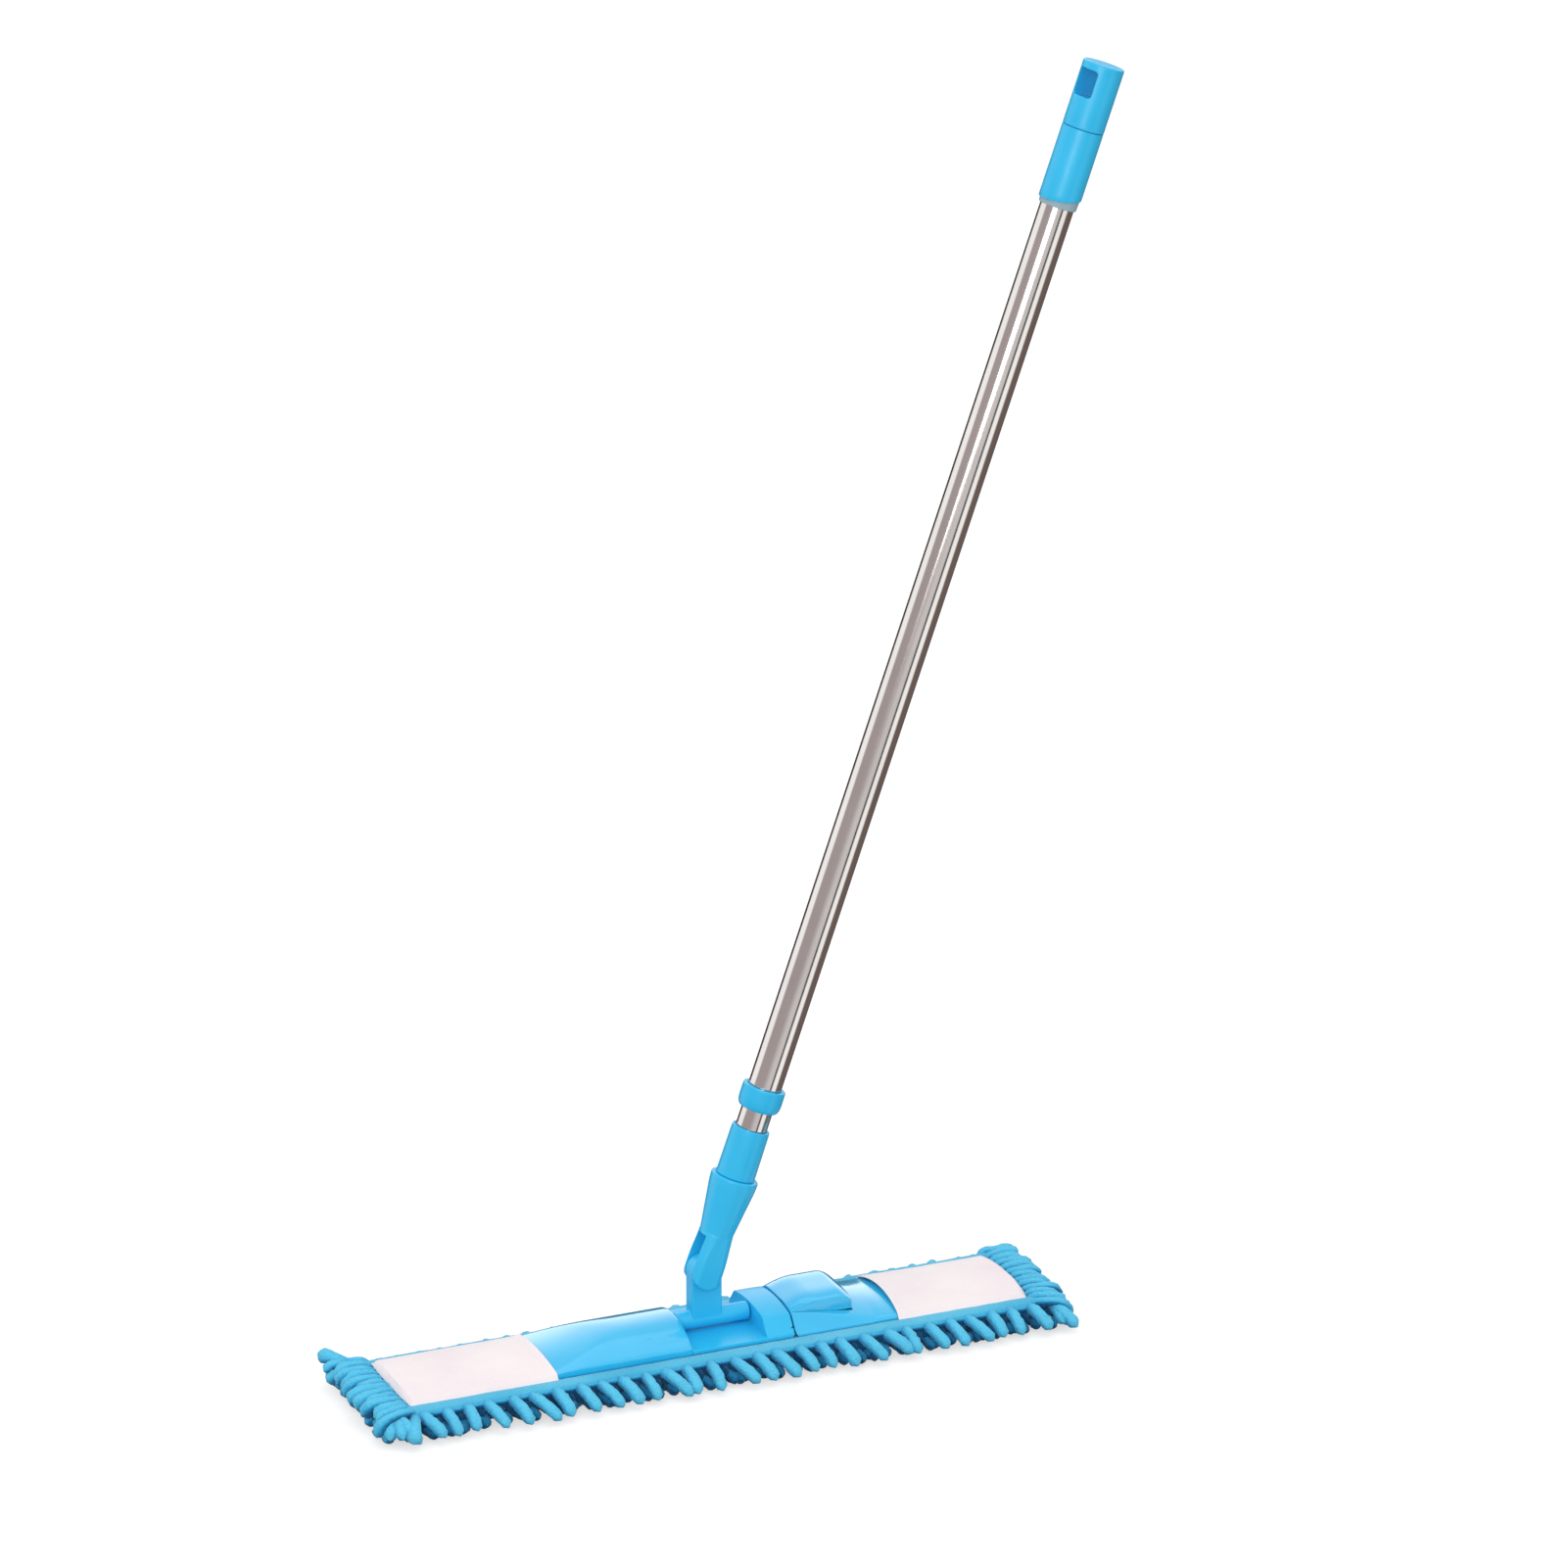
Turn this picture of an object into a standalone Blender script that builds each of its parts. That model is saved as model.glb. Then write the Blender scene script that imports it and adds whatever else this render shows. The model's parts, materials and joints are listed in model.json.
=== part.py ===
"""Flat mop with a folding frame, a slip-on chenille pad and a twist-lock telescopic pole.

The origin is on the floor, under the swivel. +X runs along the head towards the folding wing, +Z is up.
Sizes are in millimetres; the helpers turn them into Blender's metres.
Pole parts are modelled along the pole's own axis: their height is the distance from the yoke pin.
"""

import math

import bmesh
import bpy
from mathutils import Matrix, Vector

MM = 0.001
GAP = 0.35  # between pieces that touch

# Head
PLATE_HALF_WIDTH = 38.0
PLATE_BOTTOM = 21.0
TRAY_TOP = 24.2
CREST = 39.5  # top of both wings
DOME_DROP = 13.7
DOME_POWER = 2.2
CREASE_SOFTNESS = 2.0
MOUTH_X = 137.0  # where a wing enters its pocket
TIP_X = 244.0
MOUTH_CREST = 29.0
TIP_CREST = 26.0
EDGE_HEIGHT = 23.8
TIP_RADIUS = 14.0
LEFT_CREST_X = 80.0  # where each wing starts to fall from the crest
RIGHT_CREST_X = 62.0
LEFT_CROSS_FALL = 5.0  # how far the slope drops from its ridge to the edge
RIGHT_CROSS_FALL = 7.0
TOP_SAG = 3.0  # the right-hand parts' flat top, and the flange along its edge
TOP_HALF_WIDTH = 27.0
FLANGE_FOOT = 22.4
FLANGE_SLOPE = 1.3
FLANGE_SOFTNESS = 1.6
WALL = 2.4
LEFT_WING_END = -25.0
CHEEK_X = 35.3
SCREW_PLACES = [(x, y) for x in (-54.0, -37.0) for y in (-22.0, 22.0)]

# Swivel and yoke
BARREL_Z = 31.8
BARREL_RADIUS = 7.0
BARREL_ENDS = (-23.6, 34.4)
STUB_HALF_WIDTH = 12.0
STUB_HALF_DEPTH = 6.5
PIN_Z = 70.0
PIN_RADIUS = 2.9
POLE_LEAN = math.radians(19.5)

# Fold and latch
FOLD_X = 57.7
FOLD_Z = 24.4
FOLD_HALF_ANGLE = math.radians(30.0)  # half of the wing's 60 degree fold
KNUCKLE_RADIUS = 3.2
KNUCKLE_EDGES = (-34.0, -22.0, -10.0, 10.0, 22.0, 34.0)
PEDAL_PIN = (70.0, 30.0)
PEDAL_HALF_WIDTH = 26.0
PEDAL_SIDE_DROP = 3.5
PEDAL_SIDE_POWER = 4.5
PEDAL_END = 108.0
PEDAL_CREST = 45.0
PEDAL_BOTTOM = 30.6
PEDAL_FLOOR = 25.2  # the wing under the pedal
SPRING_X = 92.0
SPRING_ENDS = (25.5, 42.2)

# Pad
PAD_HALF_LENGTH = 272.0
PILE_HALF_LENGTH = 280.0
PAD_HALF_WIDTH = 52.0
PILE_HALF_WIDTH = 66.0
PILE_TOP = 13.0
BACKING_TOP = 20.4

# Pole, as distances from the yoke pin
FORK_HALF_DEPTH = 12.4
SOCKET_TOP = 75.4
FERRULE_TOP = 114.4
COLLAR_BOTTOM = 129.5
COLLAR_TOP = 147.0
GRIP_RING_BOTTOM = 832.0
GRIP_BOTTOM = 840.6
CAP_BOTTOM = 891.0
POLE_TOP = 939.5
INNER_TUBE_TOP = 560.0
OUTER_RADIUS = 12.6
OUTER_BORE = 12.2
INNER_RADIUS = 11.85
INNER_BORE = 11.35
TUBE_SEAT = INNER_RADIUS + 0.35
GRIP_RADIUS = 15.4
HANG_SLOT_HALF_WIDTH = 8.5
HANG_SLOT_ENDS = (913.5, 933.7)
HANG_SLOT_TURN = math.radians(-70.0)  # about the pole, from facing -Y to facing just off -X

SKY = (0.10, 0.52, 0.86)
DEEP_SKY = (0.04, 0.36, 0.74)
TEAL = (0.07, 0.42, 0.68)


def clear_scene():
    for obj in list(bpy.data.objects):
        bpy.data.objects.remove(obj)


def make_collection(name):
    made = bpy.data.collections.new(name)
    bpy.context.scene.collection.children.link(made)
    return made


def make_material(name, colour, roughness, metallic=0.0):
    made = bpy.data.materials.new(name)
    made.use_nodes = True
    shader = made.node_tree.nodes["Principled BSDF"]
    shader.inputs["Base Color"].default_value = (*colour, 1.0)
    shader.inputs["Roughness"].default_value = roughness
    shader.inputs["Metallic"].default_value = metallic
    return made


clear_scene()
PARTS = make_collection("flat_mop")
CUTTERS = make_collection("cutters")

PLASTIC = make_material("sky_plastic", SKY, 0.35)
GLOSS = make_material("gloss_sky_plastic", SKY, 0.12)
DARK_PLASTIC = make_material("inner_plastic", DEEP_SKY, 0.4)
GREY_PLASTIC = make_material("grey_plastic", (0.42, 0.55, 0.60), 0.45)
WHITE_PLASTIC = make_material("white_nylon", (0.85, 0.85, 0.82), 0.4)
STAINLESS = make_material("stainless_tube", (0.72, 0.69, 0.66), 0.18, 1.0)
STEEL = make_material("steel_pins", (0.6, 0.6, 0.62), 0.3, 1.0)
CHENILLE = make_material("chenille", TEAL, 0.95)
BINDING = make_material("binding_tape", (0.20, 0.50, 0.68), 0.9)
POCKET = make_material("pocket_cloth", (0.90, 0.84, 0.86), 0.9)


def make_frame(name, origin, lean=0.0, parent=None):
    """An empty on a joint's axis, leaning about Y. A child frame's origin is in its parent's own frame."""
    empty = bpy.data.objects.new(name, None)
    empty.empty_display_size = 0.03
    PARTS.objects.link(empty)
    empty.parent = parent
    empty.location = Vector(origin) * MM
    empty.rotation_euler = (0.0, lean, 0.0)
    return empty


SWIVEL = make_frame("swivel_axis", (0, 0, BARREL_Z))
YOKE = make_frame("yoke_axis", (0, 0, PIN_Z - BARREL_Z), POLE_LEAN, SWIVEL)
TWIST = make_frame("twist_axis", (0, 0, INNER_TUBE_TOP), 0.0, YOKE)
SLIDE = make_frame("slide_axis", (0, 0, 0), 0.0, TWIST)
FOLD = make_frame("fold_axis", (FOLD_X, 0, FOLD_Z))
PEDAL = make_frame("pedal_axis", (PEDAL_PIN[0] - FOLD_X, 0, PEDAL_PIN[1] - FOLD_Z), 0.0, FOLD)
FRAME_ORIGINS = {
    None: Vector((0, 0, 0)),
    SWIVEL: Vector((0, 0, BARREL_Z)),
    FOLD: Vector((FOLD_X, 0, FOLD_Z)),
    PEDAL: Vector((PEDAL_PIN[0], 0, PEDAL_PIN[1])),
    YOKE: Vector((0, 0, 0)),
    TWIST: Vector((0, 0, INNER_TUBE_TOP)),
    SLIDE: Vector((0, 0, INNER_TUBE_TOP)),
}


def add_object(name, bm, frame, material=None):
    """A mesh in its frame's coordinates. Without a material it is a helper for a Boolean."""
    bmesh.ops.recalc_face_normals(bm, faces=bm.faces)
    bmesh.ops.transform(bm, matrix=Matrix.Translation(-FRAME_ORIGINS[frame]), verts=bm.verts)
    bmesh.ops.scale(bm, vec=(MM, MM, MM), verts=bm.verts)
    mesh = bpy.data.meshes.new(name)
    bm.to_mesh(mesh)
    bm.free()
    obj = bpy.data.objects.new(name, mesh)
    obj.parent = frame
    if material is None:
        CUTTERS.objects.link(obj)
        obj.hide_render = True
        obj.display_type = "WIRE"
    else:
        PARTS.objects.link(obj)
        mesh.materials.append(material)
        mesh.shade_smooth()
        mesh.set_sharp_from_angle(angle=math.radians(35))
    return obj


def block(name, low, high, frame=None, material=None):
    """A box between two corners."""
    bm = bmesh.new()
    bmesh.ops.create_cube(bm, size=1.0)
    low, high = Vector(low), Vector(high)
    bmesh.ops.scale(bm, vec=high - low, verts=bm.verts)
    bmesh.ops.translate(bm, vec=(low + high) / 2, verts=bm.verts)
    return add_object(name, bm, frame, material)


def rod(name, radius, start, end, frame=None, material=None, segments=32):
    """A cylinder between two points."""
    start, end = Vector(start), Vector(end)
    bm = bmesh.new()
    bmesh.ops.create_cone(
        bm, cap_ends=True, segments=segments, radius1=radius, radius2=radius, depth=(end - start).length
    )
    turn = Vector((0, 0, 1)).rotation_difference(end - start).to_matrix().to_4x4()
    place = Matrix.Translation((start + end) / 2)
    bmesh.ops.transform(bm, matrix=place @ turn, verts=bm.verts)
    return add_object(name, bm, frame, material)


def turned(name, profile, frame=None, material=None, steps=36):
    """A closed profile of (radius, height) points turned about the frame's Z axis, outer side first."""
    bm = bmesh.new()
    points = [bm.verts.new((radius, 0, height)) for radius, height in profile]
    for first, second in zip(points, points[1:] + points[:1]):
        bm.edges.new((first, second))
    obj = add_object(name, bm, frame, material)
    screw = obj.modifiers.new("turn", "SCREW")
    screw.steps = screw.render_steps = steps
    screw.use_merge_vertices = True
    screw.merge_threshold = 0.00001
    screw.use_smooth_shade = True
    return obj


def cut(obj, *cutters):
    for cutter in cutters:
        modifier = obj.modifiers.new("cut_" + cutter.name, "BOOLEAN")
        modifier.operation = "DIFFERENCE"
        modifier.object = cutter
    return obj


def join(obj, *pieces):
    for piece in pieces:
        modifier = obj.modifiers.new("join_" + piece.name, "BOOLEAN")
        modifier.operation = "UNION"
        modifier.object = piece
    return obj


def soft_min(a, b, softness):
    """The lower of two heights, with the crease between them rounded."""
    near = max(softness - abs(a - b), 0.0) / softness
    return min(a, b) - near * near * softness / 4


def dome_height(y):
    return CREST - DOME_DROP * (abs(y) / PLATE_HALF_WIDTH) ** DOME_POWER


def flanged_height(y):
    """Section of the right-hand parts: a nearly flat top, and a steep flange along each edge."""
    top = CREST - TOP_SAG * (y / TOP_HALF_WIDTH) ** 2
    flange = FLANGE_FOOT + FLANGE_SLOPE * (PLATE_HALF_WIDTH - abs(y))
    return soft_min(top, flange, FLANGE_SOFTNESS)


def wing_height(x, y):
    """Top of a wing: its section across the head, cut down by slopes to the pocket mouth and the tip."""
    side = abs(x)
    crest_x = LEFT_CREST_X if x < 0 else RIGHT_CREST_X
    if side < MOUTH_X:
        ridge = MOUTH_CREST + (CREST - MOUTH_CREST) * (MOUTH_X - side) / (MOUTH_X - crest_x)
    else:
        ridge = MOUTH_CREST - (MOUTH_CREST - TIP_CREST) * (side - MOUTH_X) / (TIP_X - MOUTH_X)
    across = (y / PLATE_HALF_WIDTH) ** 2
    if x < 0:
        slope = ridge - min(LEFT_CROSS_FALL, ridge - EDGE_HEIGHT) * across
        return soft_min(dome_height(y), slope, CREASE_SOFTNESS)
    slope = ridge - min(RIGHT_CROSS_FALL, ridge - EDGE_HEIGHT) * across
    return soft_min(flanged_height(y), slope, CREASE_SOFTNESS)


def wing_half_width(x):
    """Plan outline: straight sides and a rounded corner at the tip."""
    past = abs(x) - (TIP_X - TIP_RADIUS)
    if past <= 0:
        return PLATE_HALF_WIDTH
    return PLATE_HALF_WIDTH - TIP_RADIUS + math.sqrt(max(TIP_RADIUS**2 - past**2, 0.0))


def under_surface(name, xs, ys, top, bottom, frame=None, material=None, half_width=None):
    """A solid from a flat bottom up to a height field. With half_width, ys are shares of it."""
    bm = bmesh.new()
    rows = []
    for x in xs:
        width = half_width(x) if half_width else 1.0
        rows.append([bm.verts.new((x, y * width, top(x, y * width))) for y in ys])
    for row, following in zip(rows, rows[1:]):
        for i in range(len(ys) - 1):
            bm.faces.new((row[i], following[i], following[i + 1], row[i + 1]))
    rim = [row[0] for row in rows] + rows[-1][1:] + [row[-1] for row in rows[-2::-1]] + rows[0][-2:0:-1]
    foot = [bm.verts.new((v.co.x, v.co.y, bottom)) for v in rim]
    for i in range(len(rim)):
        j = (i + 1) % len(rim)
        bm.faces.new((rim[i], foot[i], foot[j], rim[j]))
    bm.faces.new(foot)
    return add_object(name, bm, frame, material)


def spread(start, end, count):
    return [start + (end - start) * i / count for i in range(count + 1)]


def hollow_wing(wing, label, bays, frame):
    """Cuts the bays between the ribs out of a wing from below, leaving WALL of plastic."""
    for number, (x0, x1, y0, y1) in enumerate(bays):
        cutter = under_surface(
            f"{label}_bay_{number}",
            spread(x0, x1, max(2, round((x1 - x0) / 28))),
            spread(y0, y1, max(2, round((y1 - y0) / 8))),
            lambda x, y: wing_height(x, y) - WALL,
            PLATE_BOTTOM - 2,
            frame,
        )
        cut(wing, cutter)


def knuckles(label, indices, frame):
    """Hinge knuckles along the fold axis, as helpers to join."""
    made = []
    for i in indices:
        y0, y1 = KNUCKLE_EDGES[i] + GAP, KNUCKLE_EDGES[i + 1] - GAP
        start, end = (FOLD_X, y0, FOLD_Z), (FOLD_X, y1, FOLD_Z)
        made.append(rod(f"{label}_{i}", KNUCKLE_RADIUS, start, end, frame, segments=20))
    return made


def knuckle_notches(label, indices, frame):
    """Room in a plate's edge for the other plate's knuckles."""
    made = []
    for i in indices:
        y0, y1 = KNUCKLE_EDGES[i] - GAP, KNUCKLE_EDGES[i + 1] + GAP
        reach = KNUCKLE_RADIUS + 0.6
        start, end = (FOLD_X, y0, FOLD_Z), (FOLD_X, y1, FOLD_Z)
        made.append(rod(f"{label}_{i}", reach, start, end, frame, segments=20))
    return made


def fold_wedge(name, side, floor_z, frame, half_width=90.0):
    """A wedge below the fold axis that keeps one side's material clear of the other when folded."""
    depth = FOLD_Z - floor_z
    lip = GAP + 0.05
    reach = lip + depth * math.tan(FOLD_HALF_ANGLE)
    bm = bmesh.new()
    top_z = FOLD_Z + 0.01
    back = -side * 12
    corners = ((back, top_z), (side * lip, top_z), (side * reach, floor_z), (back, floor_z))
    face = [bm.verts.new((FOLD_X + x, -half_width, z)) for x, z in corners]
    bm.faces.new(face)
    out = bmesh.ops.extrude_face_region(bm, geom=bm.faces[:])
    moved = [v for v in out["geom"] if isinstance(v, bmesh.types.BMVert)]
    bmesh.ops.translate(bm, vec=(0, 2 * half_width, 0), verts=moved)
    return add_object(name, bm, frame)


# The head's root body: left wing, centre bracket and their fasteners


def make_left_wing():
    wing = under_surface(
        "left_wing",
        spread(-TIP_X, -TIP_X + TIP_RADIUS, 4)[:-1] + spread(-TIP_X + TIP_RADIUS, LEFT_WING_END, 18),
        spread(-1, 1, 14),
        wing_height,
        PLATE_BOTTOM,
        None,
        GLOSS,
        wing_half_width,
    )
    bays = [(-236, -152, -34, -9), (-236, -152, -6, 6), (-236, -152, 9, 34)]
    bays += [(-148, -66, -35, -12), (-148, -66, -9, 9), (-148, -66, 12, 35), (-63, -20, -35.2, 35.2)]
    hollow_wing(wing, "left_wing", bays, None)
    for number, (x, y) in enumerate(SCREW_PLACES):
        boss_top = wing_height(x, y) - WALL / 2
        boss = rod(f"left_wing_boss_{number}", 3.6, (x, y, TRAY_TOP + GAP), (x, y, boss_top), segments=20)
        hole = rod(f"left_wing_screw_hole_{number}", 1.7, (x, y, TRAY_TOP - 1), (x, y, 32), segments=16)
        join(wing, boss)
        cut(wing, hole)


def make_centre_bracket():
    """The tray under the swivel, its left cheek, and the block on the right that the pedal hooks."""
    bracket = block(
        "centre_bracket",
        (LEFT_WING_END + GAP, -PLATE_HALF_WIDTH, PLATE_BOTTOM),
        (FOLD_X - 0.4, PLATE_HALF_WIDTH, TRAY_TOP),
        None,
        PLASTIC,
    )
    tongue = block("bracket_tongue", (-61, -34.6, PLATE_BOTTOM), (LEFT_WING_END + 1, 34.6, TRAY_TOP))
    cheek = under_surface(
        "bracket_left_cheek",
        [-31.5, LEFT_WING_END + 0.6],
        spread(-33, 33, 12),
        lambda x, y: wing_height(-28, y) - WALL - 0.5,
        PLATE_BOTTOM + 1,
    )
    top_block = under_surface(
        "bracket_block",
        [CHEEK_X, 45.0, FOLD_X - 1.1],
        spread(-PLATE_HALF_WIDTH, PLATE_HALF_WIDTH, 16),
        lambda x, y: wing_height(x, y),
        PLATE_BOTTOM + 1,
    )
    join(bracket, tongue, cheek, top_block)
    latch_room = block("latch_room", (45, -10, 27.4), (FOLD_X + 1, 10, 38.0))
    keeper = block("latch_keeper", (50.5, -10.5, 26.5), (53.0, 10.5, 30.0))
    cut(bracket, latch_room)
    join(bracket, keeper)
    axle_bore = rod("bracket_axle_bore", 2.8, (-40, 0, BARREL_Z), (43, 0, BARREL_Z), segments=24)
    pin_bore = rod("bracket_fold_bore", 1.6, (FOLD_X, -40, FOLD_Z), (FOLD_X, 40, FOLD_Z), segments=20)
    wedge = fold_wedge("bracket_fold_wedge", -1, PLATE_BOTTOM - 1, None)
    notches = knuckle_notches("bracket_notch", (0, 2, 4), None)
    cut(bracket, axle_bore, *notches)
    cut(bracket, wedge)
    join(bracket, *knuckles("bracket_knuckle", (1, 3), None))
    cut(bracket, pin_bore)
    for number, (x, y) in enumerate(SCREW_PLACES):
        hole = rod(f"tongue_screw_hole_{number}", 1.8, (x, y, 18), (x, y, TRAY_TOP + 1), segments=16)
        sink = rod(f"tongue_screw_sink_{number}", 3.3, (x, y, 18), (x, y, PLATE_BOTTOM + 1.7), segments=20)
        cut(bracket, hole, sink)


def make_screws():
    for number, (x, y) in enumerate(SCREW_PLACES):
        screw = turned(
            f"bracket_screw_{number + 1}",
            [(0, 30.5), (1.1, 30.0), (1.35, 29.0), (1.35, 22.4), (2.9, 22.4), (2.9, 21.2), (0, 21.2)],
            None,
            STEEL,
            16,
        )
        screw.location = Vector((x, y, 0)) * MM


def make_swivel():
    barrel = rod(
        "swivel_barrel",
        BARREL_RADIUS,
        (BARREL_ENDS[0], 0, BARREL_Z),
        (BARREL_ENDS[1], 0, BARREL_Z),
        SWIVEL,
        PLASTIC,
        40,
    )
    stub = block(
        "barrel_stub",
        (-STUB_HALF_WIDTH + 0.1, -STUB_HALF_DEPTH + 0.05, BARREL_Z),
        (STUB_HALF_WIDTH - 0.1, STUB_HALF_DEPTH - 0.05, PIN_Z + 0.7),
        SWIVEL,
    )
    stub_head = rod(
        "barrel_stub_head",
        STUB_HALF_WIDTH,
        (0, -STUB_HALF_DEPTH, PIN_Z),
        (0, STUB_HALF_DEPTH, PIN_Z),
        SWIVEL,
        segments=40,
    )
    axle_bore = rod("barrel_axle_bore", 2.8, (-30, 0, BARREL_Z), (40, 0, BARREL_Z), SWIVEL, segments=24)
    pin_ends = (0, -20, PIN_Z), (0, 20, PIN_Z)
    pin_bore = rod("barrel_pin_bore", PIN_RADIUS + GAP, *pin_ends, SWIVEL, segments=24)
    join(barrel, stub, stub_head)
    cut(barrel, axle_bore, pin_bore)
    rod("barrel_axle", 2.45, (-31.3, 0, BARREL_Z), (42.5, 0, BARREL_Z), None, STEEL, 20)


# The pole, along its own axis


def make_socket():
    socket = turned(
        "handle_socket",
        [
            (17.5, SOCKET_TOP),
            (17.3, 69.0),
            (12.6, 30.0),
            (12.3, 6.0),
            (0.0, 6.0),
            (0.0, 50.0),
            (11.7, 50.0),
            (11.7, SOCKET_TOP),
        ],
        YOKE,
        PLASTIC,
    )
    ears = block("socket_ears", (-12.2, -FORK_HALF_DEPTH, 0), (12.2, FORK_HALF_DEPTH, 24), YOKE)
    ear_depth = FORK_HALF_DEPTH + 0.05
    ear_round = rod("socket_ear_round", 13.0, (0, -ear_depth, 0), (0, ear_depth, 0), YOKE, segments=40)
    slot_depth = STUB_HALF_DEPTH + 0.4
    slot = block("socket_slot", (-20, -slot_depth, -20), (20, slot_depth, 28), YOKE)
    pin_bore = rod("socket_pin_bore", PIN_RADIUS + 0.3, (0, -10.9, 0), (0, 20, 0), YOKE, segments=24)
    head_sink = rod("socket_pin_sink", 4.7, (0, 11.2, 0), (0, 20, 0), YOKE, segments=24)
    join(socket, ears, ear_round)
    cut(socket, slot, pin_bore, head_sink)
    pin = rod("yoke_pin", PIN_RADIUS, (0, -10.5, 0), (0, 11.6, 0), YOKE, STEEL, 24)
    join(pin, rod("yoke_pin_head", 4.4, (0, 11.5, 0), (0, 12.9, 0), YOKE, segments=24))


def make_ferrule():
    """The screw-in ferrule: a visible sleeve above the socket and a ridged spigot inside it."""
    outline = [(14.2, FERRULE_TOP), (14.4, FERRULE_TOP - 4), (14.7, SOCKET_TOP + GAP)]
    outline += [(10.6, SOCKET_TOP + GAP)]
    pitch = 5.0
    for turn in range(4):
        top = SOCKET_TOP - 3.0 - turn * pitch
        outline += [(10.6, top), (11.4, top - 1.2), (10.6, top - 2.4)]
    outline += [(10.6, 52.0), (8.0, 52.0), (8.0, 80.0), (TUBE_SEAT, 80.0), (TUBE_SEAT, FERRULE_TOP)]
    turned("threaded_ferrule", outline, YOKE, PLASTIC, 30)


def make_inner_pole():
    turned(
        "inner_tube",
        [
            (INNER_RADIUS, INNER_TUBE_TOP),
            (INNER_RADIUS, 80.4),
            (INNER_BORE, 80.4),
            (INNER_BORE, INNER_TUBE_TOP),
        ],
        YOKE,
        STAINLESS,
    )
    plug = turned(
        "lock_plug",
        [
            (INNER_RADIUS - 0.1, INNER_TUBE_TOP + 3.4),
            (INNER_RADIUS - 0.1, INNER_TUBE_TOP + GAP),
            (INNER_BORE - 0.4, INNER_TUBE_TOP + GAP),
            (INNER_BORE - 0.4, INNER_TUBE_TOP - 26),
            (0.0, INNER_TUBE_TOP - 26),
            (0.0, INNER_TUBE_TOP + 3.4),
        ],
        YOKE,
        WHITE_PLASTIC,
        40,
    )
    journal = rod(
        "plug_journal",
        6.3,
        (0.8, 0, INNER_TUBE_TOP + 3),
        (0.8, 0, INNER_TUBE_TOP + 24),
        YOKE,
        segments=32,
    )
    flange = rod(
        "plug_flange", 10.8, (0, 0, INNER_TUBE_TOP + 23), (0, 0, INNER_TUBE_TOP + 26), YOKE, segments=40
    )
    join(plug, journal, flange)


def make_lock_ring():
    """The split ring on the plug's eccentric journal, which the outer tube drags round to wedge itself."""
    low, high = INNER_TUBE_TOP + 3.8, INNER_TUBE_TOP + 22.6
    ring = rod("lock_ring", OUTER_BORE - 0.4, (0, 0, low), (0, 0, high), TWIST, DARK_PLASTIC, 40)
    bore = rod("ring_bore", 7.8, (0.8, 0, low - 1), (0.8, 0, high + 1), TWIST, segments=32)
    split = block("ring_split", (-14, -1.2, low - 1), (-6, 1.2, high + 1), TWIST)
    cut(ring, bore, split)


def make_outer_pole():
    turned(
        "outer_tube",
        [
            (OUTER_RADIUS, CAP_BOTTOM - 6),
            (OUTER_RADIUS, COLLAR_BOTTOM + 3.3),
            (OUTER_BORE, COLLAR_BOTTOM + 3.3),
            (OUTER_BORE, CAP_BOTTOM - 6),
        ],
        SLIDE,
        STAINLESS,
    )
    turned(
        "tube_collar",
        [
            (15.6, COLLAR_TOP),
            (16.2, COLLAR_TOP - 0.8),
            (16.3, COLLAR_BOTTOM + 6),
            (15.7, COLLAR_BOTTOM + 2.3),
            (14.2, COLLAR_BOTTOM),
            (TUBE_SEAT, COLLAR_BOTTOM),
            (TUBE_SEAT, COLLAR_BOTTOM + 2.9),
            (OUTER_RADIUS + 0.3, COLLAR_BOTTOM + 2.9),
            (OUTER_RADIUS + 0.3, COLLAR_TOP),
        ],
        SLIDE,
        PLASTIC,
    )
    bore = OUTER_RADIUS + 0.3
    turned(
        "grip_ring",
        [
            (14.4, GRIP_BOTTOM - GAP),
            (14.0, GRIP_RING_BOTTOM),
            (bore, GRIP_RING_BOTTOM),
            (bore, GRIP_BOTTOM - GAP),
        ],
        SLIDE,
        GREY_PLASTIC,
    )
    turned(
        "grip_sleeve",
        [
            (GRIP_RADIUS, CAP_BOTTOM - GAP),
            (GRIP_RADIUS, GRIP_BOTTOM + 1),
            (GRIP_RADIUS - 0.8, GRIP_BOTTOM),
            (bore, GRIP_BOTTOM),
            (bore, CAP_BOTTOM - GAP),
        ],
        SLIDE,
        PLASTIC,
    )
    cap = turned(
        "hanging_cap",
        [
            (GRIP_RADIUS - 0.9, POLE_TOP),
            (GRIP_RADIUS, POLE_TOP - 1),
            (GRIP_RADIUS, CAP_BOTTOM),
            (OUTER_BORE - 0.4, CAP_BOTTOM),
            (OUTER_BORE - 0.4, CAP_BOTTOM - 22),
            (0.0, CAP_BOTTOM - 22),
            (0.0, POLE_TOP),
        ],
        SLIDE,
        PLASTIC,
    )
    low, high = HANG_SLOT_ENDS
    slot = block("hang_slot", (-HANG_SLOT_HALF_WIDTH, -30, low), (HANG_SLOT_HALF_WIDTH, 30, high), SLIDE)
    slot.rotation_euler = (0.0, 0.0, HANG_SLOT_TURN)
    cut(cap, slot)


# The folding right wing and its release pedal


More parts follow.
